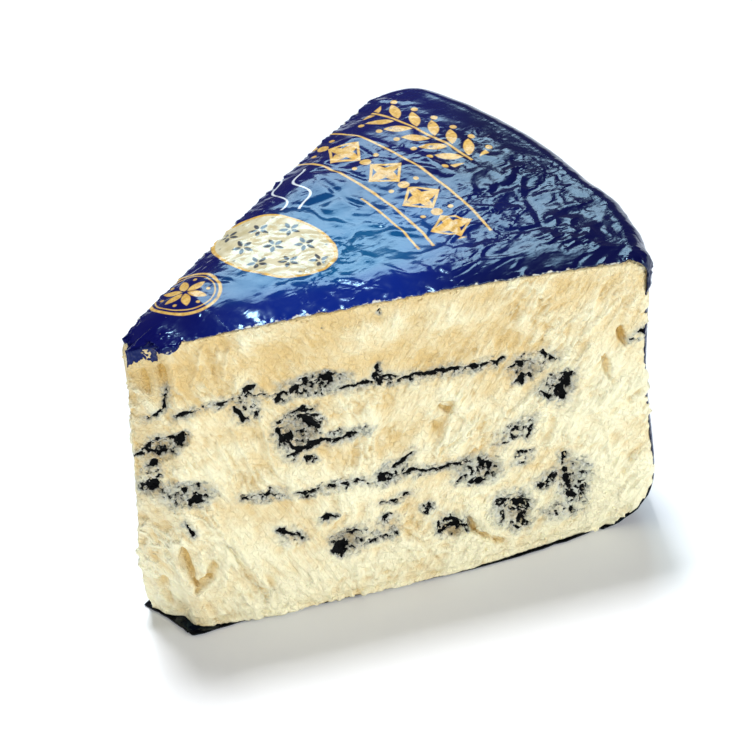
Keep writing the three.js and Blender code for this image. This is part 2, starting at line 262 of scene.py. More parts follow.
def place_in_wedge(radius, height, angle, growth):
    """Takes a point on a section of the wheel to its place in the wedge, with the upright edges rounded."""
    rim = rim_radius(height) + growth - rim_inset(height, top_height(radius, angle), growth)
    tip = tip_distance(angle) - growth
    inside = rim - radius
    from_tip = radius - tip
    from_front = radius * np.sin(HALF_ANGLE + angle)
    from_back = radius * np.sin(HALF_ANGLE - angle)
    near_rim = from_tip > inside
    rim_inside, rim_front = round_corner(inside, from_front, FRONT_RIM_EDGE + growth)
    tip_inside, tip_front = round_corner(from_tip, from_front, TIP_EDGE + growth)
    tip_inside, tip_back = round_corner(tip_inside, from_back, TIP_EDGE + growth)
    inside = np.where(near_rim, rim_inside, rim - tip - tip_inside)
    from_front = np.where(near_rim, rim_front, tip_front)
    from_back = np.where(near_rim, from_back, tip_back)
    placed = rim - inside
    turned = np.where(
        angle < 0,
        np.arcsin(np.clip(from_front / placed, -1, 1)) - HALF_ANGLE,
        HALF_ANGLE - np.arcsin(np.clip(from_back / placed, -1, 1)),
    )
    by_rim = hump(np.clip(inside / BACK_CORNER_FADE, 0, 1))
    corner = BACK_CORNER_INSET * np.clip(1 - from_back / BACK_CORNER_REACH, 0, 1) ** BACK_CORNER_POWER
    risen = np.clip((height - FRONT_SWELL_FROM) / FRONT_SWELL_RISE, 0, 1)
    by_front = hump((angle - FRONT_SWELL_MIDDLE) / FRONT_SWELL_REACH) * risen
    swell = RIM_SWELL * (1 - (angle / HALF_ANGLE) ** 2) + FRONT_SWELL * by_front
    placed = placed + (swell - corner) * by_rim
    return np.stack([placed * np.cos(turned), placed * np.sin(turned), height + 0 * placed], axis=-1)


def angle_at(v):
    """Direction of a share of the way across the wedge, crowded towards the two cuts."""
    return lerp(-HALF_ANGLE, HALF_ANGLE, v - CROWDING_AT_CUTS * np.sin(2 * np.pi * v) / (2 * np.pi))


def belly(along, up):
    """How far the front cut bellies out at a point of it."""
    t = np.clip(1 - up / BELLY_HEIGHT, 0, 1)
    return BELLY_DEPTH * t * np.sqrt(t) * hump((along - BELLY_CENTRE) / BELLY_REACH)


def cut_coordinates(points, side):
    """Where points lie in a cut's pattern: distance from the axis, and height, followed along the slant."""
    normal = FRONT_NORMAL if side < 0 else BACK_NORMAL
    course = np.array([math.cos(HALF_ANGLE), side * math.sin(HALF_ANGLE), 0.0])
    depth = -(points @ normal)
    return points @ course + SLANT_ALONG * depth, points[..., 2] + SLANT_UP * depth


def grid_normals(grid):
    """Unit directions square to a grid of points, from the steps along its two sides."""
    first = np.gradient(grid, axis=0)
    second = np.gradient(grid, axis=1)
    normal = np.cross(first, second)
    return normal / np.maximum(np.linalg.norm(normal, axis=-1, keepdims=True), 1e-12)


def mesh_normals(points, quads):
    """Unit normals of a mesh of quads at its points."""
    first, second, third, fourth = (points[quads[:, corner]] for corner in range(4))
    diagonals = np.cross(third - first, fourth - second)
    total = np.zeros_like(points)
    for corner in range(4):
        for axis in range(3):
            total[:, axis] += np.bincount(quads[:, corner], diagonals[:, axis], len(points))
    return total / np.maximum(np.linalg.norm(total, axis=-1, keepdims=True), 1e-12)


def add_object(name, data):
    """A new object in the scene."""
    made = bpy.data.objects.new(name, data)
    bpy.context.scene.collection.objects.link(made)
    return made


def modified_mesh(piece):
    """A mesh of its own with what an object's modifiers make of it."""
    view = bpy.context.evaluated_depsgraph_get()
    return bpy.data.meshes.new_from_object(piece.evaluated_get(view), depsgraph=view)


def make_piece(name, points, faces, fields):
    """A mesh object from points in wheel coordinates, with named values at its points."""
    placed = (points + np.array([WHEEL_AXIS[0], WHEEL_AXIS[1], 0.0])) * MM
    mesh = bpy.data.meshes.new(name)
    mesh.from_pydata(placed.tolist(), [], [list(map(int, face)) for face in faces])
    for field, values in fields.items():
        layer = mesh.attributes.new(field, "FLOAT", "POINT")
        layer.data.foreach_set("value", np.asarray(values, np.float32))
    mesh.polygons.foreach_set("use_smooth", np.ones(len(mesh.polygons), bool))
    return add_object(name, mesh)


THINNING_LEVELS = 8
THINNING_WEIGHT = 10.0


def thin_out(piece, share, ratio):
    """Merges small faces of a piece where share is high, and keeps the rest as fine as it is."""
    group = piece.vertex_groups.new(name="thin")
    levels = np.round(share * THINNING_LEVELS) / THINNING_LEVELS
    for level in np.unique(levels):
        group.add(np.nonzero(levels == level)[0].tolist(), float(level), "REPLACE")
    modifier = piece.modifiers.new("thin", "DECIMATE")
    modifier.ratio = ratio
    modifier.vertex_group = group.name
    modifier.vertex_group_factor = THINNING_WEIGHT
    mesh = modified_mesh(piece)
    piece.modifiers.remove(modifier)
    piece.vertex_groups.clear()
    piece.data = mesh
    mesh.name = piece.name


# The marks on the front cut. Places are distances from the wheel's axis and heights.
# A thread is a thin dark crack: its points, and its half width at its two ends.
FRONT_THREADS = [
    ([(11.6, 55.4), (11.0, 51.9), (9.8, 50.6), (7.6, 50.0)], 0.24, 0.30),
    ([(13.0, 49.0), (15.2, 49.3), (17.1, 49.2)], 0.34, 0.22),
    ([(17.1, 49.2), (20.2, 49.9), (23.4, 49.6), (26.2, 50.3)], 0.14, 0.20),
    ([(23.6, 47.3), (24.9, 45.0), (26.6, 44.8), (27.2, 46.4)], 0.46, 0.26),
    ([(26.3, 50.1), (30.4, 49.2), (33.0, 48.6)], 0.13, 0.16),
    ([(41.7, 47.3), (46.2, 47.7), (51.8, 46.7)], 0.30, 0.40),
    ([(51.8, 46.7), (55.4, 46.8), (59.6, 46.4), (64.1, 46.1), (67.8, 46.0), (70.8, 45.6)], 0.42, 0.58),
    ([(70.8, 45.7), (72.2, 46.3)], 0.40, 0.30),
    ([(79.4, 46.0), (81.5, 44.1), (80.3, 43.6)], 0.26, 0.32),
    ([(84.5, 40.0), (83.5, 36.5), (82.8, 34.2)], 0.50, 0.66),
    ([(79.0, 37.0), (80.1, 35.3)], 0.50, 0.34),
    ([(49.1, 47.6), (49.4, 50.4)], 0.44, 0.30),
    ([(46.4, 47.6), (49.4, 48.3), (53.4, 47.5)], 0.28, 0.20),
    ([(6.6, 42.8), (9.4, 45.0), (12.2, 43.8)], 0.34, 0.28),
    ([(6.6, 42.8), (8.8, 40.6), (12.0, 41.5), (13.6, 43.0)], 0.42, 0.26),
    ([(5.0, 42.3), (7.2, 41.8)], 0.30, 0.40),
    ([(30.6, 40.6), (31.8, 37.4), (34.2, 35.2)], 0.40, 0.42),
    ([(34.3, 34.9), (37.6, 36.6), (40.8, 35.9), (44.7, 36.5)], 0.34, 0.38),
    ([(32.0, 34.6), (35.6, 35.0), (38.0, 36.2)], 0.34, 0.30),
    ([(30.9, 42.2), (32.6, 43.4), (34.9, 44.1), (37.4, 44.0)], 0.24, 0.30),
    ([(23.6, 26.8), (27.0, 26.8), (31.9, 25.5), (39.6, 25.3), (45.9, 25.3)], 0.24, 0.22),
    ([(48.4, 24.3), (52.2, 24.4), (54.7, 25.1), (57.7, 24.0), (61.7, 23.9), (64.5, 24.5)], 0.30, 0.26),
    ([(48.6, 25.0), (50.1, 25.9), (52.6, 27.3), (54.4, 29.3)], 0.44, 0.34),
    ([(62.6, 20.2), (64.4, 20.9)], 0.34, 0.26),
    ([(65.4, 19.3), (67.5, 19.3), (69.0, 19.9)], 0.40, 0.34),
    ([(48.2, 18.8), (50.9, 18.6), (53.8, 20.0)], 0.28, 0.32),
    ([(29.6, 17.6), (31.1, 16.2), (32.9, 15.6), (33.7, 13.9)], 0.26, 0.28),
    ([(59.1, 10.9), (59.2, 8.8), (63.3, 9.3)], 0.34, 0.44),
    ([(60.3, 12.0), (61.8, 10.8), (63.3, 9.6)], 0.62, 0.66),
    ([(56.4, 15.9), (56.9, 14.6), (57.7, 14.9), (57.2, 16.0)], 0.24, 0.24),
    ([(70.0, 12.4), (71.2, 12.0), (72.0, 13.2), (70.6, 13.6)], 0.30, 0.30),
    ([(72.9, 11.9), (76.0, 11.6)], 0.36, 0.30),
    ([(74.4, 10.4), (74.8, 7.8), (74.9, 6.0)], 1.05, 0.62),
    ([(72.6, 6.6), (73.8, 5.2), (75.0, 5.6)], 0.26, 0.30),
    ([(74.4, 23.9), (76.7, 23.4)], 0.28, 0.22),
    ([(76.6, 29.0), (76.0, 26.8)], 0.34, 0.26),
    ([(82.8, 21.2), (82.7, 17.4), (83.7, 15.1)], 0.46, 0.42),
    ([(83.7, 15.1), (83.3, 12.4), (84.1, 10.8)], 0.70, 0.94),
    ([(86.3, 12.8), (85.6, 8.9)], 0.36, 0.56),
    ([(80.5, 16.8), (79.6, 15.1), (78.1, 14.3)], 0.26, 0.34),
    ([(12.7, 24.3), (13.2, 22.6), (13.9, 20.9)], 0.18, 0.22),
    ([(96.0, 44.6), (98.4, 45.8)], 0.30, 0.66),
]

# A blot is a solid dark patch: its middle, half length, half height and turn in degrees
FRONT_BLOTS = [
    (26.1, 51.6, 1.25, 0.95, 20), (13.3, 43.4, 1.25, 1.7, -20), (8.0, 39.4, 1.0, 0.9, 0),
    (8.7, 36.2, 0.9, 0.45, 10), (6.9, 34.4, 1.9, 1.5, -35), (36.7, 41.3, 1.7, 2.3, 20),
    (35.4, 44.2, 0.9, 0.8, 0), (32.8, 37.9, 1.4, 0.8, -30), (36.4, 32.7, 1.3, 0.75, -12),
    (49.4, 48.8, 0.8, 0.7, 0), (47.0, 47.4, 0.9, 0.4, 0), (75.4, 43.6, 0.9, 1.3, 20),
    (75.3, 40.2, 1.5, 0.8, 10), (83.9, 39.4, 0.75, 1.6, 12), (82.4, 36.0, 1.35, 1.35, 0),
    (67.8, 22.0, 1.4, 1.3, 35), (69.4, 20.8, 0.8, 0.6, 0), (50.4, 24.9, 1.1, 0.8, 0),
    (38.6, 18.2, 1.35, 0.85, -10), (29.9, 17.4, 0.8, 0.9, 0), (40.4, 10.2, 1.5, 1.3, 40),
    (49.3, 15.3, 0.9, 0.8, 0), (61.6, 11.0, 1.0, 0.7, -22), (74.8, 10.6, 1.4, 0.9, 10),
    (35.2, 24.1, 0.9, 0.5, 0), (14.9, 28.3, 1.7, 0.8, 12), (74.9, 21.0, 0.9, 0.55, 0),
    (39.9, 49.9, 1.0, 0.8, 0), (36.6, 50.6, 1.0, 0.9, 20),
    (34.4, 49.4, 0.9, 0.8, 0), (46.2, 10.2, 0.5, 0.4, 0), (40.2, 61.8, 0.25, 0.2, 0),
    (50.4, 63.0, 0.55, 0.3, 40), (77.8, 9.1, 0.3, 0.3, 0), (31.3, 48.2, 0.8, 0.9, 0),
    (5.6, 42.2, 0.6, 0.5, 0),
]

# A pocket is a mottled patch, part mould and part paste: middle, half length, half height, turn, how dark
FRONT_POCKETS = [
    (38.2, 49.6, 6.0, 2.6, -4, 1.0), (32.2, 48.4, 2.2, 1.6, 0, 0.8), (21.5, 49.6, 6.5, 1.4, 0, 0.65),
    (25.6, 48.3, 2.6, 3.4, -20, 0.7), (34.2, 39.8, 4.4, 5.0, 0, 0.8), (42.6, 36.6, 5.2, 1.7, 4, 0.75),
    (9.4, 42.4, 3.6, 3.2, 0, 0.55), (7.6, 38.6, 2.2, 2.2, 0, 0.6), (13.4, 30.6, 5.2, 3.2, -16, 0.95),
    (27.4, 26.4, 5.2, 1.9, -6, 0.6), (42.0, 25.2, 14.0, 1.5, -1, 0.55), (50.6, 25.4, 4.0, 2.6, 12, 0.8),
    (66.6, 21.8, 4.4, 3.6, -10, 0.9), (58.6, 24.2, 6.5, 1.3, 2, 0.5), (73.6, 29.0, 5.4, 2.4, 36, 0.6),
    (76.0, 43.0, 3.4, 3.8, 20, 0.7), (80.0, 45.0, 2.8, 2.2, 24, 0.55), (82.0, 37.4, 3.4, 3.2, 20, 0.85),
    (75.2, 22.2, 2.4, 2.6, 0, 0.55), (52.0, 46.9, 12.0, 1.2, -3, 0.45), (42.2, 11.8, 4.2, 3.4, 20, 0.75),
    (48.8, 11.2, 3.0, 1.8, 10, 0.7), (49.2, 14.6, 2.2, 2.2, 0, 0.5), (61.8, 9.3, 3.4, 2.2, -10, 0.5),
    (72.6, 11.0, 4.2, 4.6, 10, 0.75), (79.8, 15.6, 3.0, 2.4, 10, 0.7), (84.6, 13.6, 3.2, 6.2, -14, 0.8),
    (82.6, 7.8, 4.6, 2.6, 0, 0.6), (38.4, 18.0, 2.2, 1.4, 0, 0.4), (31.6, 15.8, 3.0, 2.6, -40, 0.4),
    (57.2, 15.2, 1.8, 1.6, 0, 0.6), (35.0, 33.2, 3.0, 1.6, -10, 0.5), (35.2, 24.2, 2.0, 1.0, 0, 0.6),
    (18.0, 42.0, 6.0, 1.2, 30, 0.12), (64.0, 46.2, 8.5, 1.0, -2, 0.4),
]

# The hidden back cut: the same two veins, opened in a few places
BACK_THREADS = [
    ([(12.0, 49.4), (20.0, 48.6), (33.0, 49.8), (47.0, 49.2), (60.0, 47.4), (74.0, 46.6)], 0.34, 0.44),
    ([(16.0, 26.2), (30.0, 25.4), (44.0, 26.0), (58.0, 24.4), (72.0, 25.0)], 0.36, 0.34),
    ([(60.0, 38.6), (63.0, 34.2), (66.6, 33.0)], 0.40, 0.34),
    ([(52.0, 15.6), (56.0, 12.4), (60.0, 12.8)], 0.36, 0.30),
    ([(78.0, 29.0), (79.0, 23.0), (77.4, 20.6)], 0.46, 0.40),
]
BACK_BLOTS = [
    (21.8, 48.6, 1.5, 1.1, 0), (45.0, 49.6, 1.9, 1.0, 10), (63.2, 36.4, 1.8, 2.2, 20),
    (29.4, 25.4, 1.7, 1.2, 0), (56.4, 13.6, 1.5, 1.5, 0), (78.2, 24.6, 1.2, 2.2, 0),
    (36.0, 37.4, 1.0, 0.8, 0), (85.0, 38.0, 0.9, 1.4, 20), (68.4, 17.2, 0.9, 0.7, 0),
    (40.0, 14.2, 0.9, 0.9, 0), (52.4, 25.6, 1.3, 0.8, 0), (70.0, 46.8, 1.2, 0.7, 0),
]
BACK_POCKETS = [
    (22.0, 48.6, 5.0, 2.4, 0, 0.8), (46.0, 49.4, 6.4, 2.6, 4, 0.9), (63.0, 36.0, 5.0, 4.6, 10, 0.9),
    (30.0, 25.6, 5.4, 2.8, 0, 0.8), (56.0, 14.0, 4.2, 3.8, 0, 0.85), (78.0, 25.0, 3.8, 5.2, 0, 0.8),
    (44.0, 25.8, 12.0, 1.5, 0, 0.5), (60.0, 47.6, 12.0, 1.3, -6, 0.5), (36.0, 37.4, 3.0, 2.0, 0, 0.6),
    (84.4, 38.4, 2.8, 4.0, 20, 0.7), (40.0, 14.6, 3.0, 2.4, 0, 0.6), (69.0, 17.4, 3.6, 2.4, 0, 0.6),
]

# Hollows as in the solid: distance from the axis, height, half length, half height, depth
FRONT_HOLLOWS = [
    (34.3, 39.6, 4.6, 4.6, 2.4), (9.8, 41.8, 3.2, 2.8, 1.6), (13.6, 43.4, 1.8, 2.2, 1.6),
    (7.4, 34.0, 2.6, 2.2, 1.8), (13.6, 30.4, 4.6, 3.0, 1.5), (38.6, 50.0, 5.6, 2.6, 1.3),
    (23.6, 48.4, 3.0, 2.4, 1.1), (75.8, 42.4, 3.6, 3.0, 1.3), (82.4, 37.4, 3.4, 3.0, 1.4),
    (61.3, 38.2, 2.4, 1.8, 1.4), (68.6, 21.2, 3.2, 2.6, 1.6), (41.4, 11.8, 3.8, 2.9, 2.1),
    (61.4, 9.0, 3.2, 2.2, 1.8), (73.4, 10.0, 3.4, 4.2, 1.9), (83.4, 15.6, 2.4, 5.0, 1.6),
]
BACK_HOLLOWS = [
    (22, 48.6, 4.2, 2.6, 1.4), (46, 49.4, 5.2, 2.8, 1.5), (63, 36.0, 4.4, 4.0, 2.1),
    (30, 25.6, 4.6, 2.8, 1.6), (56, 14.0, 3.6, 3.4, 1.9), (78, 25.0, 3.4, 4.2, 1.6),
]

# Knife gouges: two ends, half width and depth. A negative depth is a ridge of pushed-up paste.
FRONT_GOUGES = [
    ((11.7, 18.6), (13.9, 8.0), 1.9, 1.7), ((18.0, 14.0), (16.4, 9.4), 2.0, 0.9),
    ((16.6, 10.0), (13.2, 6.8), 1.8, 1.2), ((14.8, 16.6), (15.4, 11.4), 1.0, -0.6),
    ((19.9, 16.8), (18.8, 7.0), 1.1, -0.8), ((8.3, 18.4), (12.8, 9.6), 0.8, -0.8),
    ((17.2, 16.4), (18.3, 12.0), 0.6, -0.6), ((7.2, 12.8), (8.6, 5.6), 1.8, 1.0),
    ((15.9, 27.2), (21.0, 15.6), 0.6, -0.7), ((16.9, 26.6), (20.2, 19.0), 0.5, -0.5),
    ((19.8, 17.8), (26.2, 1.9), 1.0, 0.7), ((20.9, 18.3), (27.2, 2.4), 0.5, -0.5),
    ((8.0, 61.6), (8.8, 55.4), 1.1, 1.2), ((11.1, 63.1), (11.9, 56.4), 1.1, 1.1),
    ((12.9, 62.0), (13.8, 54.0), 0.8, -0.7), ((9.8, 61.0), (10.4, 54.6), 0.7, -0.6),
    ((18.9, 63.4), (16.6, 54.9), 0.7, -0.7), ((23.1, 61.6), (22.3, 54.6), 0.8, -0.6),
    ((21.2, 62.4), (20.2, 56.0), 0.8, 0.5), ((23.9, 54.5), (24.0, 51.0), 0.4, -0.5),
    ((27.4, 46.2), (29.9, 30.6), 0.5, -0.7), ((22.1, 43.6), (24.5, 36.8), 0.45, -0.6),
    ((24.2, 37.4), (26.8, 28.7), 0.5, -0.6), ((19.7, 41.7), (22.8, 31.7), 0.5, -0.5),
    ((16.9, 38.8), (19.9, 28.3), 0.5, -0.5), ((20.8, 40.0), (24.4, 30.4), 0.45, 0.4),
    ((12.2, 29.6), (13.6, 20.8), 0.4, -0.4), ((52.0, 12.4), (58.6, 2.4), 0.8, 0.4),
    ((50.4, 13.0), (55.0, 3.0), 0.8, -0.5), ((93.8, 48.0), (94.7, 43.4), 1.3, 1.5),
    ((90.9, 42.8), (91.9, 36.8), 1.3, 1.5), ((72.1, 32.6), (85.3, 44.9), 0.5, -0.6),
    ((74.0, 30.4), (88.3, 45.4), 0.5, -0.6), ((75.2, 33.4), (87.0, 47.0), 0.6, 0.4),
    ((82.3, 43.6), (90.7, 52.5), 0.5, -0.5), ((77.4, 32.0), (80.8, 35.3), 0.5, -0.6),
    ((69.6, 38.7), (71.5, 35.7), 0.5, -0.5), ((71.5, 35.7), (72.2, 32.8), 0.5, -0.5),
    ((85.8, 17.4), (93.5, 10.9), 0.4, -0.5), ((82.6, 25.5), (86.1, 33.1), 0.5, -0.5),
    ((86.1, 33.1), (90.5, 35.2), 0.5, -0.4), ((88.1, 30.8), (90.7, 25.9), 0.5, -0.5),
    ((90.7, 25.9), (91.6, 17.1), 0.5, -0.4), ((60.0, 38.6), (62.8, 36.8), 1.0, 1.1),
    ((58.8, 36.2), (60.4, 31.0), 1.0, 0.5), ((62.6, 37.6), (66.4, 32.4), 0.6, -0.4),
    ((64.4, 11.4), (66.2, 6.6), 1.3, 1.9), ((66.2, 6.9), (71.0, 3.2), 1.6, 1.7),
    ((66.6, 10.6), (68.4, 6.8), 1.1, -1.2), ((62.6, 13.4), (64.2, 7.4), 1.0, -1.1),
]
BACK_GOUGES = [
    ((20, 18), (34, 9), 1.6, 1.0), ((78, 52), (86, 41), 1.4, 0.9), ((40, 40), (50, 32), 0.7, -0.3),
]


def segment_distance(x, y, start, end):
    """Distance from points to a straight piece, and the share of the way along it."""
    run = np.subtract(end, start)
    share = np.clip(((x - start[0]) * run[0] + (y - start[1]) * run[1]) / (run @ run), 0, 1)
    return np.hypot(x - start[0] - run[0] * share, y - start[1] - run[1] * share), share


def turned_oval(x, y, middle_x, middle_y, half_length, half_height, degrees):
    """Distance from an oval's middle, in units of its size."""
    turn = math.radians(degrees)
    sideways = (x - middle_x) * math.cos(turn) + (y - middle_y) * math.sin(turn)
    upwards = (y - middle_y) * math.cos(turn) - (x - middle_x) * math.sin(turn)
    return np.hypot(sideways / half_length, upwards / half_height)


def mould_fields(along, up, threads, blots, pockets, seed):
    """The mould on a cut: a field that is dark above zero, and the stain round it."""
    bend = Grain(seed)
    speck = Grain(seed + 1)
    web = Facets(seed + 2)

    def ragged(wide_level, narrow_level):
        """Uneven shifts in millimetres, wide ones and narrow ones, each from a level of the noise."""
        wide = 0.60 * bend.layers(along / 2.4, up / 2.4, wide_level, 2)
        return wide + 0.34 * bend.layers(along / 0.85, up / 0.85, narrow_level, 2)

    ragged_x, ragged_y = ragged(3.1, 8.2), ragged(11.7, 5.4)
    x, y = along + ragged_x, up + ragged_y
    patchy = speck.layers(along / 1.5, up / 1.1, 1.3, 2)
    clumps = 1.7 * (web(x / 1.35, y / 1.10, 0.5)[0] - 0.52)
    granules = clumps + 0.75 * speck.layers(along / 0.95, up / 0.8, 7.7, 2, 0.6)
    dark = np.full(along.shape, -1.0)
    stain = np.zeros(along.shape)
    line_x, line_y = along + 0.4 * ragged_x, up + 0.4 * ragged_y
    for points, half_first, half_last in threads:
        for index in range(len(points) - 1):
            distance, share = segment_distance(line_x, line_y, points[index], points[index + 1])
            half = lerp(half_first, half_last, (index + share) / (len(points) - 1))
            dark = np.maximum(dark, 0.74 - distance / half * 0.8 + 0.95 * patchy)
            halo = 0.7 * np.exp(-((distance / (half * 2.4 + 0.8)) ** 2)) * (1 + 0.6 * patchy)
            stain = np.maximum(stain, halo)
    for middle_x, middle_y, length, height, degrees in blots:
        distance = turned_oval(x, y, middle_x, middle_y, length, height, degrees)
        dark = np.maximum(dark, 0.95 - distance + 0.30 * patchy + 0.30 * granules)
        stain = np.maximum(stain, 0.8 * hump(distance / 2.2))
    for middle_x, middle_y, length, height, degrees, strength in pockets:
        distance = turned_oval(x, y, middle_x, middle_y, length, height, degrees)
        inside = hump(np.clip(distance / 1.2, 0, 1)) * strength
        dark = np.maximum(dark, inside * (0.38 + granules) - 0.45)
        stain = np.maximum(stain, strength * hump(distance / 1.55))
    return np.clip(dark, -1, 1), np.clip(stain, 0, 1)


def carved(along, up, hollows, gouges, seed):
    """Depth of a cut's hollows and gouges, with craggy floors."""
    crag = Grain(seed)
    rough = crag.layers(along / 2.2, up / 2.2, 4.4, 3)
    depth = np.zeros(along.shape)
    for middle_x, middle_y, length, height, deep in hollows:
        inside = hump(turned_oval(along, up, middle_x, middle_y, length, height, 0) * (1 + 0.25 * rough))
        depth += deep * inside * (0.62 + 0.38 * rough)
    waver_x = along + 0.35 * crag(along / 3.0, up / 3.0, 9.1)
    waver_y = up + 0.35 * crag(along / 3.0, up / 3.0, 2.7)
    for start, end, half, deep in gouges:
        distance, share = segment_distance(waver_x, waver_y, start, end)
        run = np.subtract(end, start)
        side = (waver_x - start[0]) * run[1] - (waver_y - start[1]) * run[0]
        steep = np.where(side > 0, 1.0, 2.4)
        taper = 0.2 + 0.8 * np.sqrt(4 * share * (1 - share))
        depth += deep * hump(np.clip(distance * steep / (half * taper), 0, 1)) * (0.75 + 0.35 * rough)
    return depth


def streaks(along, up, seed, degrees, length, width, count=3):
    """Long shallow marks that a knife leaves, running one way."""
    turn = math.radians(degrees)
    lengthwise = along * math.cos(turn) + up * math.sin(turn)
    sideways = up * math.cos(turn) - along * math.sin(turn)
    marks = Grain(seed)
    sideways = sideways + 0.6 * marks(lengthwise / 7, sideways / 5, 3.3)
    return marks.layers(lengthwise / length, sideways / width, 0.7, count, 0.6)


def ledges(field, rate):
    """Turns a smooth field into ledges that rise slowly and break off sharply."""
    return np.mod(field * rate, 1.0) - 0.5


# Directions that the knife's marks on a cut are drawn in, in degrees, and how far each blends into the next
COURSES = (-44, -62, -80, -98, -116, -134)
COURSE_REACH = 26
COURSE_ON_LEFT = -60
COURSE_ON_RIGHT = -124
COURSE_SWAY = 26


def smear_relief(along, up, seed):
    """Height of the paste left by the knife. Its marks lean back on the left of the cut and forward on the
    right, are faint near the top and in the middle, and give way to crumbly paste low on the right."""
    lumps = Grain(seed + 5)
    waves = 0.45 * lumps.layers(along / 12, up / 9, 1.1, 2, 0.5)
    crumbly = hump(turned_oval(along, up, 62, 10, 30, 13, 8))
    crumbly = np.clip(crumbly + 0.5 * hump(turned_oval(along, up, 86, 22, 14, 22, 0)), 0, 1)
    dabs = lumps.layers(along / 2.4, up / 1.9, 6.6, 3, 0.6)
    rightward = ramp(30, 60, along - 0.3 * (up - 30))
    sway = COURSE_SWAY * lumps.layers(along / 13, up / 11, 8.4, 2)
    course = lerp(COURSE_ON_LEFT, COURSE_ON_RIGHT, rightward) + sway
    patch = ramp(-0.45, 0.5, lumps.layers(along / 10, up / 8, 4.2, 2))
    smooth = hump(turned_oval(along, up, 46, 56, 34, 12, -2))
    total = 0.0
    weights = 0.0
    for index, degrees in enumerate(COURSES):
        weight = hump((course - degrees) / COURSE_REACH) + 1e-6
        wide = streaks(along, up, seed + index, degrees, 15, 3.2)
        crests = np.clip(1 - 6 * np.abs(streaks(along, up, seed + 20 + index, degrees, 14, 3.4, 2)), 0, 1)
        broken = ledges(streaks(along, up, seed + 40 + index, degrees, 12, 3.8), 1.1)
        total = total + weight * (0.40 * wide + 0.46 * crests + 0.70 * broken)
        weights = weights + weight
    marks = total / weights * (0.30 + 0.85 * patch) * (1 - 0.65 * smooth) * (1 - 0.4 * crumbly)
    flakes, _ = Facets(seed + 8)(along / 2.1 + 0.3 * dabs, up / 1.5 + 0.3 * dabs, 0.5)
    return waves + marks + dabs * (0.10 + 0.14 * crumbly) + (0.52 - flakes) * (0.20 + 0.50 * crumbly)


def grid_quads(number):
    """The quads between the numbered points of a grid."""
    ring = [number[:-1, :-1], number[1:, :-1], number[1:, 1:], number[:-1, 1:]]
    return np.stack([corner.ravel() for corner in ring], axis=1)


def box_shell(steps):
    """A closed unit box whose faces carry a grid: the three coordinates of its points, and outward quads."""
    shape = tuple(count + 1 for count in steps)
    kept = np.zeros(shape, bool)
    for axis in range(3):
        side = [slice(None)] * 3
        side[axis] = 0
        kept[tuple(side)] = True
        side[axis] = -1
        kept[tuple(side)] = True
    number = np.full(shape, -1)
    number[kept] = np.arange(kept.sum())
    u, v, w = (values / count for values, count in zip(np.nonzero(kept), steps))
    quads = []
    for axis in range(3):
        for end in (0, -1):
            side = [slice(None)] * 3
            side[axis] = end
            sheet = grid_quads(number[tuple(side)])
            outward = (end == -1) != (axis == 1)
            quads.append(sheet if outward else sheet[:, ::-1])
    return u, v, w, np.concatenate(quads)


def paste_place(u, v, w):
    """Points of the smooth paste: u along the radius, v across the wedge, w up."""
    angle = angle_at(v)
    floor = FLOOR_OF_PASTE - PASTE_LIFT
    outer = WHEEL_RADIUS + PASTE_LIFT
    radius = lerp(tip_distance(angle), outer, u)
    top = top_height(radius, angle) + PASTE_LIFT
    height = lerp(floor, top, w)
    inside, up_from_floor = round_corner(outer - radius, height - floor, BOTTOM_RIM + PASTE_LIFT)
    height = up_from_floor + floor
    inside, below = round_corner(inside, top - height, TOP_SHOULDER + PASTE_LIFT)
    height = top - below
    radius = outer - inside - (WHEEL_RADIUS - rim_radius(height)) * u
    points = place_in_wedge(radius, height, angle, PASTE_LIFT * ramp(0.4, 1.0, u))
    swelling = belly(radius, height)
    foot = BOTTOM_CUT_INSET * hump((height - FLOOR_OF_PASTE) / BOTTOM_CUT_REACH)
    front = (swelling - foot) * hump(v * 4)
    back = (swelling * BELLY_SHARE_ON_BACK - foot) * hump((1 - v) * 4)
    points = points + front[:, None] * FRONT_NORMAL + back[:, None] * BACK_NORMAL
    by_tip = hump(6 * u)
    points[:, 0] -= TIP_WAVER * by_tip * np.sin((height - TIP_WAVER_START) / TIP_WAVER_LENGTH)
    points[:, 0] += FOOT_DRAWN_IN * by_tip * ramp(FOOT_DRAWN_IN_BELOW, 0, height)
    return points, top - height


PASTE_STEPS = (290, 26, 210)
PASTE_FACES_KEPT = 0.62
CRUMB_SIZE = 0.42
CRUMB_DENSITY = 420000.0
CRUMB_SEED = 5
CRUMB_SHAPE_SEED = 9


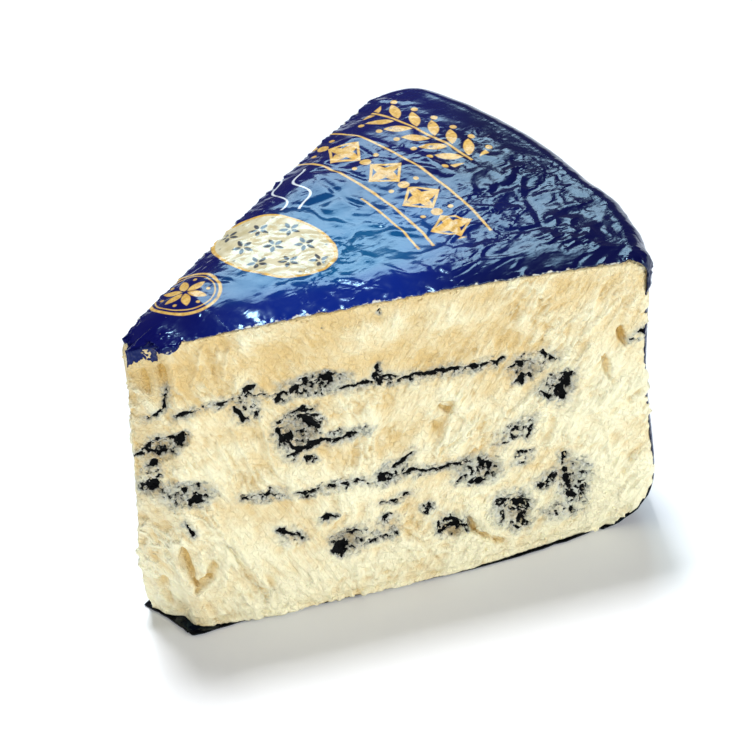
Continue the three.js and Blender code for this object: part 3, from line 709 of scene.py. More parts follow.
def make_paste():
    """The wedge of paste: the smooth body, then hollows, gouges, knife smears and mould pits on its cuts."""
    u, v, w, quads = box_shell(PASTE_STEPS)
    points, below = paste_place(u, v, w)
    normals = mesh_normals(points, quads)
    on_tip = (u == 0) * 1.0
    front_share = np.maximum(hump(v * 7) * (v < 0.14), on_tip * ramp(1.0, 0.75, v))
    back_share = hump((1 - v) * 7) * (v > 0.86)
    mould = np.full(len(points), -1.0)
    stain = np.zeros(len(points))
    relief = np.zeros(len(points))
    smeared = np.zeros(len(points))
    marks = [
        (-1, front_share, FRONT_THREADS, FRONT_BLOTS, FRONT_POCKETS, FRONT_HOLLOWS, FRONT_GOUGES, 11),
        (1, back_share, BACK_THREADS, BACK_BLOTS, BACK_POCKETS, BACK_HOLLOWS, BACK_GOUGES, 41),
    ]
    for side, share, threads, blots, pockets, hollows, gouges, seed in marks:
        shown = share > 0
        along, up = cut_coordinates(points[shown], side)
        dark, halo = mould_fields(along, up, threads, blots, pockets, seed)
        carve = carved(along, up, hollows, gouges, seed + 3)
        smear = smear_relief(along, up, seed + 9)
        pits = 0.85 * ramp(-0.1, 0.6, dark) + 0.15 * ramp(-0.6, -0.1, dark)
        crumble = 0.30 * halo * Grain(seed + 6).layers(along / 1.3, up / 1.1, 0.4, 2, 0.6)
        under = below[shown]
        by_tip = ramp(19, 13, along)
        near_film = lerp(ramp(0.1, 1.8, under), ramp(3.6, 5.4, under), by_tip)
        height = (smear * (1 - 0.6 * halo) + crumble - carve - pits) * near_film
        relief[shown] += share[shown] * height
        smeared[shown] += share[shown] * smear
        mould[shown] = np.maximum(mould[shown], dark)
        stain[shown] = np.maximum(stain[shown], halo)
    points = points + normals * relief[:, None]
    points[:, 2] = np.maximum(points[:, 2], FLOOR_OF_PASTE - PASTE_LIFT)
    low_right = hump(turned_oval(points[:, 0], points[:, 2], 62, 8, 30, 12, 6))
    loose = 0.9 * ramp(4.5, 0.8, points[:, 2]) + 1.0 * ramp(1.3, 0.3, below) + 0.5 * low_right
    loose = loose + 0.55 * ramp(0.15, 0.5, stain) * ramp(0.2, -0.4, mould)
    loose = np.clip(loose, 0, 1) * (front_share + back_share > 0.5) * (points[:, 2] > FLOOR_OF_PASTE)
    fields = {
        "mould": mould, "stain": stain, "relief": relief, "smear": smeared,
        "below_film": np.clip(below, 0, 20), "loose": loose,
    }
    piece = make_piece("blue_cheese_paste", points, quads, fields)
    off_front = 1 - np.clip(front_share * 3, 0, 1)
    thin_out(piece, off_front, PASTE_FACES_KEPT)
    return piece


FILM_STEPS = {"fold": 12, "top": 205, "shoulder": 14, "rim": 90, "foot": 16, "bottom": 34}
FILM_ACROSS = 150
FILM_EDGE_STEPS = 30
FILM_FACES_KEPT = 0.66
WRINKLES_MIDDLE = 0.34
WRINKLES_HIGHEST = 0.95


def film_section(angle):
    """The film's path in a section of the wheel, for each direction across the wedge: radius, height and
    outward direction, each an array of path by across."""
    tip = tip_distance(angle)
    edge_noise = Grain(71)
    sway = edge_noise.layers(angle * 14, 0.3, 0.0, 3)
    across = angle / HALF_ANGLE
    fold = FOLD_OVER_TIP * ramp(FOLD_NONE, FOLD_FULL, across) * (0.9 + 0.35 * sway) + FOLD_LEAST
    top_edge = top_height(tip, angle)
    top_start = tip + DRAWN_BACK * ramp(FOLD_FULL, DRAWN_BACK_FULL, across) * (1 + 0.3 * sway)
    rows = []

    def stop(radius, height, out_x, out_z):
        rows.append([value + 0 * angle for value in (radius, height, out_x, out_z)])

    for index in range(FILM_STEPS["fold"]):
        stop(top_start, top_edge - fold * (1 - index / FILM_STEPS["fold"]), -1, 0)
    for index in range(FILM_STEPS["top"] + 1):
        radius = lerp(top_start, SHOULDER_START, index / FILM_STEPS["top"])
        stop(radius, top_height(radius, angle), -1.0 if index == 0 else 0, 1)
    shoulder_height = top_height(SHOULDER_START, angle) - TOP_SHOULDER
    for index in range(1, FILM_STEPS["shoulder"] + 1):
        turn = np.pi / 2 * index / FILM_STEPS["shoulder"]
        stop(
            SHOULDER_START + TOP_SHOULDER * np.sin(turn),
            shoulder_height + TOP_SHOULDER * np.cos(turn),
            np.sin(turn),
            np.cos(turn),
        )
    foot_height = FLOOR_OF_PASTE + BOTTOM_RIM
    for index in range(1, FILM_STEPS["rim"] + 1):
        height = lerp(shoulder_height, foot_height, index / FILM_STEPS["rim"])
        stop(rim_radius(height), height, 1, 0)
    for index in range(1, FILM_STEPS["foot"] + 1):
        turn = np.pi / 2 * index / FILM_STEPS["foot"]
        stop(
            WHEEL_RADIUS - BOTTOM_RIM + BOTTOM_RIM * np.cos(turn),
            foot_height - BOTTOM_RIM * np.sin(turn),
            np.cos(turn),
            -np.sin(turn),
        )
    past_tip = BEYOND_TIP * (0.5 - 0.5 * across) - FOOT_DRAWN_IN - BASE_DRAWN_IN * ramp(0.2, 1.0, across)
    for index in range(1, FILM_STEPS["bottom"] + 1):
        radius = lerp(WHEEL_RADIUS - BOTTOM_RIM, tip - past_tip, index / FILM_STEPS["bottom"])
        stop(radius, FLOOR_OF_PASTE, 0, -1)
    radius, height, out_x, out_z = np.moveaxis(np.array(rows), 1, 0)
    return radius, height, out_x, out_z


def film_place(angle, growth):
    """Points of the film at a distance off the paste, path by across, before it is wrinkled."""
    radius, height, out_x, out_z = film_section(angle)
    across = np.broadcast_to(angle, radius.shape)
    points = place_in_wedge(radius + out_x * growth, height + out_z * growth, across, growth)
    low = (out_z == -1) * 1.0
    past = BEYOND_CUT * hump((radius - TIP_ALONG_FRONT_CUT) / BEYOND_CUT_REACH)
    swelling = BELOW_BELLY * belly(radius, FLOOR_OF_PASTE)
    v = np.linspace(0, 1, FILM_ACROSS + 1)[None, :]
    tucked = ramp(10, 17, radius) - 0.75 * ramp(52, 64, radius) + 0.75 * ramp(84, 90, radius)
    tuck = BASE_TUCK * np.clip(tucked, 0, 1)
    front = low * (past + swelling - tuck) * hump(v * 2)
    back = low * (past * BEYOND_BACK_SHARE + swelling * BELLY_SHARE_ON_BACK) * hump((1 - v) * 2)
    return points + front[..., None] * FRONT_NORMAL + back[..., None] * BACK_NORMAL, out_x, out_z


def rim_share(points):
    """1 where the film is gathered towards the rim and its right-hand end, 0 over the middle of the top."""
    x, y, z = points[..., 0], points[..., 1], points[..., 2]
    patch = 4 * Grain(112).layers(x / 14, y / 14, 0.2, 2)
    corner = ramp(62, 84, x - 0.8 * y + patch) * (0.18 + 0.82 * ramp(8, -9, y + patch))
    return np.maximum(corner, 0.8 * ramp(60, 52, z))


def crumpling(points):
    """How crumpled the film is at a place: most near the rim, least along the front cut and near the tip."""
    x, y, z = points[..., 0], points[..., 1], points[..., 2]
    patch = Grain(111).layers(x / 16, y / 16, z / 16, 2)
    share = lerp(0.40 + 0.45 * patch, 1.0 + 0.2 * patch, rim_share(points))
    by_cut = lerp(0.35, 1.0, ramp(1.5, 9.0, points @ -FRONT_NORMAL + 5 * ramp(76, 98, x)))
    by_tip = lerp(0.55, 1.0, ramp(16, 34, np.hypot(x, y)))
    return np.clip(share * by_cut * by_tip, 0.08, 1.2)


def crease_field(points, seed, degrees, long, wide, half):
    """A network of creases about a length and a width apart, running one way. Some stand up, some are pressed
    in, and they come and go. Also the distance to the middle of each facet."""
    x, y, z = points[..., 0], points[..., 1], points[..., 2]
    turn = math.radians(degrees)
    bend = Grain(seed)
    warp_x = x + 0.22 * long * bend.layers(x / long, y / long, z / long, 2)
    warp_y = y + 0.22 * long * bend.layers(x / long + 9, y / long, z / long, 2)
    lengthwise = warp_x * math.cos(turn) + warp_y * math.sin(turn)
    sideways = warp_y * math.cos(turn) - warp_x * math.sin(turn)
    nearest, gap = Facets(seed + 1)(lengthwise / long, sideways / wide, z / wide)
    strength = np.clip(bend.layers(x / long, y / wide, z / long + 5, 2) * 1.8, -1, 1)
    return strength * (1 - ramp(0, half, gap)), nearest


def wrinkles(points, crumpled):
    """Height of the film's wrinkles: broad waves and a few creases on top, and sharp crumples by the rim."""
    x, y, z = points[..., 0], points[..., 1], points[..., 2]
    turn = math.radians(-68)
    lengthwise = x * math.cos(turn) + y * math.sin(turn)
    sideways = y * math.cos(turn) - x * math.sin(turn)
    waves = Grain(101).layers(lengthwise / 24, sideways / 10, z / 10, 3, 0.45)
    long_creases, broad = crease_field(points, 103, -68, 17, 6.5, 0.26)
    short_creases, _ = crease_field(points, 105, -52, 7.5, 3.2, 0.34)
    gathers, facets = crease_field(points, 107, 6, 11.0, 5.2, 0.20)
    fine_gathers, small_facets = crease_field(points, 109, 22, 5.6, 2.6, 0.30)
    quiet = 0.34 * long_creases + 0.24 * short_creases * crumpled + 0.22 * (broad - 0.5)
    thick = np.clip(crumpled - 0.55, 0, 1) * 1.6
    lively = 0.40 * gathers + 0.32 * fine_gathers * thick
    lively = lively + 0.24 * (facets - 0.5) + 0.24 * (small_facets - 0.5) * thick
    calm = np.clip(crumpled / 0.35, 0.25, 1)
    from_top = np.maximum(np.hypot(x, y) - SHOULDER_START + 5.0, 0)
    over_edge = 1 - 0.70 * ramp(0, 5, from_top)
    gathered = rim_share(points)
    uneven = lerp(0.30, 0.20, gathered) * waves + calm * lerp(quiet, lively, gathered)
    height = WRINKLES_MIDDLE + over_edge * uneven
    return np.clip(height - 0.12 * ramp(0, 5, from_top), 0, WRINKLES_HIGHEST)


def drape(points, along, from_front):
    """Lets the film's front edge near the tip hang over the cut."""
    share = np.clip(1 - from_front / DRAPE_WIDTH, 0, 1)
    reach = hump(np.clip((along - TIP_ALONG_FRONT_CUT) / DRAPE_REACH, 0, 1)) * ramp(40, 50, points[..., 2])
    sway = 1 + 0.35 * Grain(75).layers(along / 2.2, 0.4, 0.0, 2)
    out = (from_front + lerp(-DRAPE_WIDTH, DRAPE_OUT, ramp(0, 0.45, share))) * (share > 0)
    out = out * np.clip(reach * 3, 0, 1)
    down = DRAPE_DOWN * reach * sway * np.clip((share - 0.35) / 0.65, 0, 1)
    moved = points + out[..., None] * FRONT_NORMAL
    moved[..., 2] -= down
    return moved


def make_film():
    """The film over the top, rim and base: a thin closed shell with wrinkles and ragged edges."""
    angle = angle_at(np.linspace(0, 1, FILM_ACROSS + 1))
    base, out_x, out_z = film_place(angle, FILM_STAND)
    from_front = base @ -FRONT_NORMAL
    from_back = base @ -BACK_NORMAL
    along = np.hypot(base[..., 0], base[..., 1])
    crumpled = crumpling(base)
    height = wrinkles(base, crumpled)
    base = drape(base, along, from_front)
    normal = grid_normals(base)
    height = height * ramp(0, 6, base[..., 2])
    rim_edge = (1 - out_z**2) * hump(np.clip(from_front / 9.0, 0, 1))
    height = height * (1 - 0.85 * rim_edge) - 0.18 * rim_edge
    height = height * lerp(0.30, 1.0, np.maximum(ramp(0.5, 7.0, from_back), ramp(80, 92, along)))
    rag = Grain(131)
    ragged = 0.30 * rag.layers(along / 1.6, base[..., 2] / 2.4, 0.5, 3, 0.7) + 0.10
    shoulder = (WHEEL_RADIUS - RIM_SLUMP, HEIGHT_AT_RIM - TOP_SHOULDER / 2)
    from_shoulder = np.hypot(along - shoulder[0], base[..., 2] - shoulder[1])
    lump = hump(np.hypot(from_shoulder, np.maximum(from_front, 0)) / 6.0)
    tip_side = (out_x == -1) * 1.0
    knots = rag.layers(base[..., 0] / 1.6, base[..., 1] / 1.6, base[..., 2] / 1.6, 3, 0.6)
    by_tip = hump(np.clip((along - 8) / 9, 0, 1)) * hump(np.clip(from_front / 5, 0, 1)) * (base[..., 2] > 40)
    height = height + lump * (0.7 + 0.45 * knots) + np.maximum(tip_side, by_tip) * 0.34 * np.abs(knots)
    curl = (out_z == -1) * hump(np.clip((along - 9) / 9, 0, 1)) * hump(np.clip(from_front / 6, 0, 1))
    outer = base + normal * height[..., None]
    outer[..., 2] += curl * (0.5 + 0.7 * np.abs(knots)) * (tip_distance(0) - 0.2 > np.abs(base[..., 0]))
    step = np.arange(FILM_ACROSS + 1)
    edge_front = hump(np.clip(from_front / 1.6, 0, 1)) * (step < FILM_EDGE_STEPS)
    edge_back = hump(np.clip(from_back / 1.6, 0, 1)) * (step > FILM_ACROSS - FILM_EDGE_STEPS)
    outer = outer + (edge_front * ragged)[..., None] * FRONT_NORMAL
    outer = outer + (edge_back * ragged)[..., None] * BACK_NORMAL
    outer[..., 2] = np.maximum(outer[..., 2], 0.0)
    inner = outer - grid_normals(outer) * FILM_THICKNESS
    inner[..., 2] = np.maximum(inner[..., 2], 0.0)
    count_path, count_across = outer.shape[:2]
    outside = np.arange(count_path * count_across).reshape(count_path, count_across)
    inside = outside + outside.size
    loop = np.concatenate([outside[:, 0], outside[-1, 1:], outside[-2::-1, -1], outside[0, -2:0:-1]])
    following = np.roll(loop, -1)
    edge_faces = np.stack([loop, following, following + outside.size, loop + outside.size], axis=1)
    faces = np.concatenate([grid_quads(outside), grid_quads(inside)[:, ::-1], edge_faces])
    points = np.concatenate([outer.reshape(-1, 3), inner.reshape(-1, 3)])
    edge = np.minimum(np.abs(from_front), np.abs(from_back)).ravel()
    fields = {
        "crumpled": np.tile(crumpled.ravel(), 2),
        "from_edge": np.clip(np.tile(edge, 2), 0, 20),
    }
    piece = make_piece("printed_film", points, faces, fields)
    is_inner = np.arange(len(points)) >= outside.size
    thin_out(piece, is_inner * 1.0, FILM_FACES_KEPT)
    return piece


def make_crumbs(paste, finish):
    """Crumbs of paste on the cuts: near the foot, under the film's edge and round the mould."""
    tree = bpy.data.node_groups.new("crumbs", "GeometryNodeTree")
    settings = {
        "Size": (CRUMB_SIZE * MM, "NodeSocketFloat"),
        "Density": (CRUMB_DENSITY, "NodeSocketFloat"),
        "Seed": (CRUMB_SEED, "NodeSocketInt"),
        "Finish": (finish, "NodeSocketMaterial"),
    }
    tree.interface.new_socket("Surface", in_out="INPUT", socket_type="NodeSocketGeometry")
    sockets = {
        name: tree.interface.new_socket(name, in_out="INPUT", socket_type=kind)
        for name, (_, kind) in settings.items()
    }
    tree.interface.new_socket("Crumbs", in_out="OUTPUT", socket_type="NodeSocketGeometry")
    start = Shade(tree, None)
    given = start.add("NodeGroupInput", {}, {}, "Surface")
    outputs = given.socket.node.outputs
    surface, size, density, seed, material = (
        Shade(tree, outputs[name]) for name in ("Surface", "Size", "Density", "Seed", "Finish")
    )
    number = {"data_type": "FLOAT"}
    loose = start.add("GeometryNodeInputNamedAttribute", number, {"Name": "loose"}, "Attribute")
    spread = {"Mesh": surface, "Density": density * loose, "Seed": seed}
    scatter = start.add("GeometryNodeDistributePointsOnFaces", {}, spread, "Points")
    lump = start.add("GeometryNodeMeshIcoSphere", {}, {"Radius": 1.0, "Subdivisions": 2}, "Mesh")
    uneven = start.add("ShaderNodeTexNoise", {}, {"Scale": 1.3, "Detail": 2.0}, "Color")
    shift = start.add("ShaderNodeVectorMath", {"operation": "SUBTRACT"}, {0: uneven, 1: (0.5, 0.5, 0.5)})
    # the product makes one number of the shift, so that each point moves along the lump's diagonal
    lump = start.add("GeometryNodeSetPosition", {}, {"Geometry": lump, "Offset": shift * 1.0})
    vectors = {"data_type": "FLOAT_VECTOR"}
    any_way = {0: (0.0, 0.0, 0.0), 1: (6.28, 6.28, 6.28), "Seed": seed}
    turn = start.add("FunctionNodeRandomValue", vectors, any_way, 0)
    sizes = {0: (0.3, 0.3, 0.25), 1: (1.0, 0.8, 0.6), "Seed": CRUMB_SHAPE_SEED}
    stretch = start.add("FunctionNodeRandomValue", vectors, sizes, 0)
    scale = start.add("ShaderNodeVectorMath", {"operation": "SCALE"}, {0: stretch, 3: size})
    copies = {"Points": scatter, "Instance": lump, "Rotation": turn, "Scale": scale}
    placed = start.add("GeometryNodeInstanceOnPoints", {}, copies)
    crumbs = start.add("GeometryNodeRealizeInstances", {}, {"Geometry": placed})
    free = {"Geometry": crumbs, "Name": "mould", "Value": -1.0}
    crumbs = start.add("GeometryNodeStoreNamedAttribute", number, free)
    crumbs = start.add("GeometryNodeSetMaterial", {}, {"Geometry": crumbs, "Material": material})
    start.add("NodeGroupOutput", {}, {"Crumbs": crumbs}, None)

    carrier = add_object("crumb_carrier", paste.data)
    modifier = carrier.modifiers.new("crumbs", "NODES")
    modifier.node_group = tree
    for name, (value, _) in settings.items():
        modifier[sockets[name].identifier] = value
    mesh = modified_mesh(carrier)
    mesh.name = "paste_crumbs"
    bpy.data.objects.remove(carrier)
    return add_object("paste_crumbs", mesh)


class Shade:
    """A socket in a material, with Python's operators for its maths."""

    def __init__(self, tree, socket):
        self.tree = tree
        self.socket = socket

    def add(self, kind, settings, inputs, output=0):
        """Adds a node: its settings first, then the values or links of its sockets."""
        node = self.tree.nodes.new(kind)
        for name, value in settings.items():
            setattr(node, name, value)
        for key, value in inputs.items():
            if isinstance(value, Shade):
                self.tree.links.new(value.socket, node.inputs[key])
            else:
                node.inputs[key].default_value = value
        return None if output is None else Shade(self.tree, node.outputs[output])

    def math(self, operation, *values):
        """A Math node on this value and others."""
        inputs = dict(enumerate((self,) + values))
        return self.add("ShaderNodeMath", {"operation": operation}, inputs)

    def __add__(self, other):
        return self.math("ADD", other)

    __radd__ = __add__

    def __mul__(self, other):
        return self.math("MULTIPLY", other)

    __rmul__ = __mul__

    def __sub__(self, other):
        return self.math("SUBTRACT", other)

    def __rsub__(self, other):
        return self.add("ShaderNodeMath", {"operation": "SUBTRACT"}, {0: other, 1: self})

    def __truediv__(self, other):
        return self.math("DIVIDE", other)

    def __abs__(self):
        return self.math("ABSOLUTE")

    def __and__(self, other):
        """Where both shapes are: the larger distance."""
        return self.math("MAXIMUM", other)

    def __or__(self, other):
        """Where either shape is: the smaller distance."""
        return self.math("MINIMUM", other)

    def sine(self):
        return self.math("SINE")

    def repeat(self, pitch):
        """Repeats a length in cells, each centred on zero."""
        return self.math("WRAP", pitch / 2, -pitch / 2)

    def fade(self, low, high):
        """0 at low, 1 at high, and smooth between them."""
        settings = {"interpolation_type": "SMOOTHSTEP"}
        inputs = {"Value": self, "From Min": low, "From Max": high}
        if low > high:
            inputs = {"Value": self, "From Min": high, "From Max": low}
            return 1 - self.add("ShaderNodeMapRange", settings, inputs)
        return self.add("ShaderNodeMapRange", settings, inputs)

    def printed(self, soft=0.12):
        """1 inside a shape given by its distance, 0 outside."""
        return self.fade(soft, -soft)

    def mix(self, first, second):
        """Two colours mixed by this share."""
        settings = {"data_type": "RGBA"}
        return self.add("ShaderNodeMix", settings, {0: self, 6: first, 7: second}, 2)


def length(x, y):
    """Distance of a point from the middle, from its two coordinates."""
    return (x * x + y * y).math("SQRT")


def turned(x, y, degrees):
    """Coordinates seen from axes turned by an angle."""
    cosine, sine = math.cos(math.radians(degrees)), math.sin(math.radians(degrees))
    return x * cosine + y * sine, y * cosine - x * sine


def leaf(x, y, long, wide):
    """Distance to a pointed leaf along x."""
    radius = (long * long / 4 + wide * wide / 4) / wide
    offset = radius - wide / 2
    return length(x, abs(y) + offset) - radius


def colour(red, green, blue):
    """A linear colour from its screen values."""
    linear = [
        ((value / 255 + 0.055) / 1.055) ** 2.4 if value > 10 else value / 255 / 12.92
        for value in (red, green, blue)
    ]
    return (*linear, 1.0)


def soft_oval(x, y, middle, size, soft):
    """0 outside an oval, rising smoothly towards its middle, where it is 1."""
    return (1 - length((x - middle[0]) / size[0], (y - middle[1]) / size[1])).fade(0.0, soft)


class Finish:
    """A material with a Principled shader, and the coordinates that its pattern reads."""

    def __init__(self, name):
        self.material = bpy.data.materials.new(name)
        self.material.use_nodes = True
        self.tree = self.material.node_tree
        self.shader = self.tree.nodes["Principled BSDF"]
        start = Shade(self.tree, None)
        place = start.add("ShaderNodeTexCoord", {}, {}, "Object")
        self.place = start.add("ShaderNodeVectorMath", {"operation": "SCALE"}, {0: place, 3: 1 / MM})
        split = start.add("ShaderNodeSeparateXYZ", {}, {0: self.place})
        outputs = split.socket.node.outputs
        self.x, self.y, self.z = (Shade(self.tree, outputs[index]) for index in range(3))
        self.start = start

    def field(self, name):
        """A value that the mesh carries at its points."""
        return self.start.add("ShaderNodeAttribute", {"attribute_name": name}, {}, "Fac")

    def spot(self, offset=0.0, turn=0.0, stretch=(1, 1, 1)):
        """The place that a pattern reads, shifted, turned about the upright and stretched."""
        shift = (offset, offset * 2, offset * 3)
        inputs = {0: self.place, 1: shift, 2: (0, 0, math.radians(-turn)), 3: stretch}
        return self.start.add("ShaderNodeMapping", {"vector_type": "POINT"}, inputs)

    def noise(self, size, detail=3.0, rough=0.5, spot=None, offset=0.0):
        """Noise about zero, with features of a size in millimetres."""
        vector = spot or (self.spot(offset) if offset else self.place)
        inputs = {"Vector": vector, "Scale": 1 / size, "Detail": detail, "Roughness": rough}
        return self.start.add("ShaderNodeTexNoise", {}, inputs, 0) * 2 - 1

    def cells(self, size, spot=None, feature="F1", output="Distance"):
        """Distance to the nearest of scattered points or to their cell's edge, or a cell's own random value.
        Cells are of a size in millimetres."""
        inputs = {"Vector": spot or self.place, "Scale": 1 / size}
        return self.start.add("ShaderNodeTexVoronoi", {"feature": feature}, inputs, output)

    def vector(self, x, y, z=0.0):
        """A place from its three coordinates."""
        return self.start.add("ShaderNodeCombineXYZ", {}, {0: x, 1: y, 2: z})

    def set(self, name, value):
        """Links or sets one of the shader's own sockets."""
        if isinstance(value, Shade):
            self.tree.links.new(value.socket, self.shader.inputs[name])
        else:
            self.shader.inputs[name].default_value = value

    def bump(self, height, depth):
        """Fine relief, with a depth in millimetres."""
        inputs = {"Height": height, "Distance": depth * MM, "Strength": 1.0}
        return self.start.add("ShaderNodeBump", {}, inputs)


def knife_marks(finish):
    """Fine marks on the two cuts, leaning back on the left and forward on the right."""
    x, y = finish.x - WHEEL_AXIS[0], finish.y - WHEEL_AXIS[1]
    along = x * math.cos(HALF_ANGLE) + abs(y) * math.sin(HALF_ANGLE)
    total = None
    for degrees, share in ((-62, along.fade(52, 34)), (-123, along.fade(34, 56))):
        lengthwise, sideways = turned(along, finish.z, degrees)
        drawn_out = finish.vector(lengthwise * 0.09 + finish.y * 0.1, sideways * 0.55)
        marks = finish.noise(1.0, 3.0, 0.55, drawn_out)
        total = marks * share if total is None else total + marks * share
    return total


def paste_finish():
    """Cream paste, with painted highlight and shade on its relief and painted light low down, stained round
    the mould, and black where mould is thick.
    """
    finish = Finish("cheese_paste")
    mould, stain = finish.field("mould"), finish.field("stain")
    relief, smear, below = finish.field("relief"), finish.field("smear"), finish.field("below_film")
    fine = finish.noise(0.45, 3.0, 0.65)
    broad = finish.noise(15.0, 3.0, 0.5)
    dabs = finish.noise(2.2, 4.0, 0.7, offset=31.0)
    marks = knife_marks(finish)
    patch = finish.noise(7.0, 3.0, 0.6, offset=53.0).fade(-0.10, 0.40)
    # paler towards the rim: partly the paste's own tone, partly painted light from the right
    rim_side = (finish.x - WHEEL_AXIS[0]).fade(52, 88)
    # ledges go tan before each break and pale after it: painted shade and highlight on the terraces that the
    # bump draws
    ledge = ((marks * 1.7 + fine * 0.08 + dabs * 0.16).math("FRACT") - 0.5) * patch
    # painted highlight on raised paste and painted shade in its hollows
    relief_highlight_and_shade = relief.math("MAXIMUM", -0.9).math("MINIMUM", 0.7) * 0.42
    # random tone, plus painted highlight and shade from the smears, ledges and knife marks
    tone_and_painted_shade = broad * 0.16 + dabs * 0.16 + smear * 0.52 + relief_highlight_and_shade + ledge * 0.22
    tone_and_painted_shade = tone_and_painted_shade + marks * 0.34 + fine * 0.12 + 0.56
    # painted light: brighter low down, standing in for light bounced up from the floor, and partly towards the
    # rim; darker and tanner towards the top
    tone_and_painted_shade = tone_and_painted_shade + rim_side * 0.14 + finish.z.fade(34.0, 6.0) * 0.24 - finish.z.fade(38.0, 52.0) * 0.26
    cream = tone_and_painted_shade.fade(-0.05, 1.05).mix(colour(226, 196, 132), colour(255, 249, 212))
    # painted shade: the paste goes tan in grooves and hollows
    painted_groove_shade = (relief * -1.0 + fine * 0.2 + dabs * 0.25).fade(0.4, 1.5)
    cream = (painted_groove_shade * 0.68).mix(cream, colour(204, 166, 78))
    # grey-blue haze, and cells of pale frost or black mould
    haze = (stain + dabs * 0.25 + marks * 0.45 + fine * 0.15).fade(0.05, 1.0)
    cream = (haze * 0.62).mix(cream, colour(164, 174, 170))
    warped = finish.vector(finish.x + fine * 0.30, finish.y + dabs * 0.3, finish.z + fine * 0.30)
    granule = finish.cells(0.95, warped) - 0.42
    flake = finish.cells(0.78, warped, output="Color") - 0.5
    grit = finish.noise(0.22, 2.0, 0.6, offset=41.0)
    growth = mould + granule.math("MINIMUM", 0.45) * 0.34 + flake * 0.70 * stain.fade(0.1, 0.5) + grit * 0.20
    veil = growth.fade(-0.55, 0.0) * stain.fade(0.1, 0.6)
    frost = (finish.noise(0.6, 2.0, 0.5, offset=7.0) - flake * 0.8).fade(-0.30, 0.22)
    shaded = (veil * 0.62).mix(cream, frost.mix(colour(84, 96, 98), colour(222, 226, 220)))
    dark = growth.fade(0.02, 0.14)
    shaded = dark.mix(shaded, colour(9, 12, 14))
    finish.set("Base Color", shaded)
    finish.set("Roughness", dark * 0.3 + 0.50 + dabs * 0.08)
    finish.set("Subsurface Weight", 0.05)
    finish.set("Subsurface Radius", (1.0, 0.62, 0.32))
    finish.set("Subsurface Scale", 0.0014)
    finish.set("Specular IOR Level", 0.16)
    finish.set("Coat Weight", (1 - dark) * 0.35)
    finish.set("Coat Roughness", 0.30)
    chips = finish.cells(1.15, warped, "DISTANCE_TO_EDGE").fade(0.0, 0.22) * (1 - patch)
    height = ledge * 0.8 + marks * 1.1 + dabs * 0.7 + fine * 0.22 + chips * 0.30 - dark * 1.3
    finish.set("Normal", finish.bump(height - (granule + flake) * veil * 0.7, 0.46))
    return finish.material


GARLAND_RADIUS = 70.0
GARLAND_END = math.radians(-11.5)
SPRAY_RADIUS = 84.5
SPRAY_MIDDLE = math.radians(11.0)
SPRAY_SPAN = math.radians(8.4)
CARTOUCHE = (41.0, 4.4, -66.0, 11.6, 8.4)
SPRIGS_ALONG = 9.4
SPRIGS_ACROSS = 5.6
MEDALLION = (21.6, 3.8)

# Soft ovals on the film's top: middle, half length and half width, and how soft the edge is
GLOW = ((48, -2), (34, 24), 0.75)
ROYAL = ((52, -12), (44, 20), 0.6)
SCUFFED = ((18, -3), (16, 9), 0.5)


def gold_print(x, y):
    """Distance to the gold ornaments: a garland, a leafy spray, rules and a medallion."""
    radius = length(x, y)
    theta = y.math("ARCTAN2", x)
    arc = theta * GARLAND_RADIUS
    out = radius - GARLAND_RADIUS
    # garland: crossed leaves in lozenge frames, with beads between
    pitch = 9.8
    cell = arc.repeat(pitch)
    cross = leaf(cell, out, 7.6, 2.2) | leaf(out, cell, 8.0, 2.4)
    frame_shape = abs(abs(cell) + abs(out) * 0.9 - 3.4) - 0.34
    half_cell = (arc + pitch / 2).repeat(pitch)
    bead = length(half_cell, out) - 1.05
    darts = length(half_cell, abs(out) - 2.9) - 0.5
    garland = cross | frame_shape | bead | darts
    rules = abs(abs(out) - 5.6) - 0.26
    garland = (garland | rules) & (GARLAND_END - theta) * GARLAND_RADIUS
    # spray: paired leaves on a stem, with berries
    stem_out = radius - SPRAY_RADIUS
    stem_arc = (theta - SPRAY_MIDDLE) * SPRAY_RADIUS
    leaf_pitch = 4.4
    slant_x, slant_y = turned(stem_arc.repeat(leaf_pitch), abs(stem_out) - 2.4, 42)
    spray = leaf(slant_x, slant_y, 5.4, 2.0) | (abs(stem_out) - 0.28)
    berry = length((stem_arc + leaf_pitch / 2).repeat(leaf_pitch), abs(stem_out) - 5.2) - 0.62
    spray = (spray | berry) & abs(stem_arc) - SPRAY_SPAN * SPRAY_RADIUS
    # medallion: two rings round a flower of six petals
    near_x, near_y = x - MEDALLION[0], y - MEDALLION[1]
    ring = length(near_x, near_y)
    medallion = (abs(ring - 6.2) - 0.30) | (abs(ring - 5.3) - 0.13)
    petal_pitch = math.pi / 3
    spoke = near_y.math("ARCTAN2", near_x).repeat(petal_pitch)
    petal = leaf(ring - 2.4, spoke * ring, 3.7, 1.7)
    between = (spoke + petal_pitch / 2).repeat(petal_pitch)
    medallion = medallion | petal | (length(ring - 4.1, between * ring) - 0.36)
    # a fine rule on the tip's side of the garland
    fine_rule = (abs(radius - 61.6) - 0.22) & (abs(theta + 0.05) * 60 - 9)
    return garland | spray | medallion | fine_rule


def blossom(x, y):
    """Distance to a small flower of five petals."""
    out = length(x, y)
    spoke = y.math("ARCTAN2", x).repeat(2 * math.pi / 5)
    return leaf(out - 1.15, spoke * out, 1.7, 0.85)


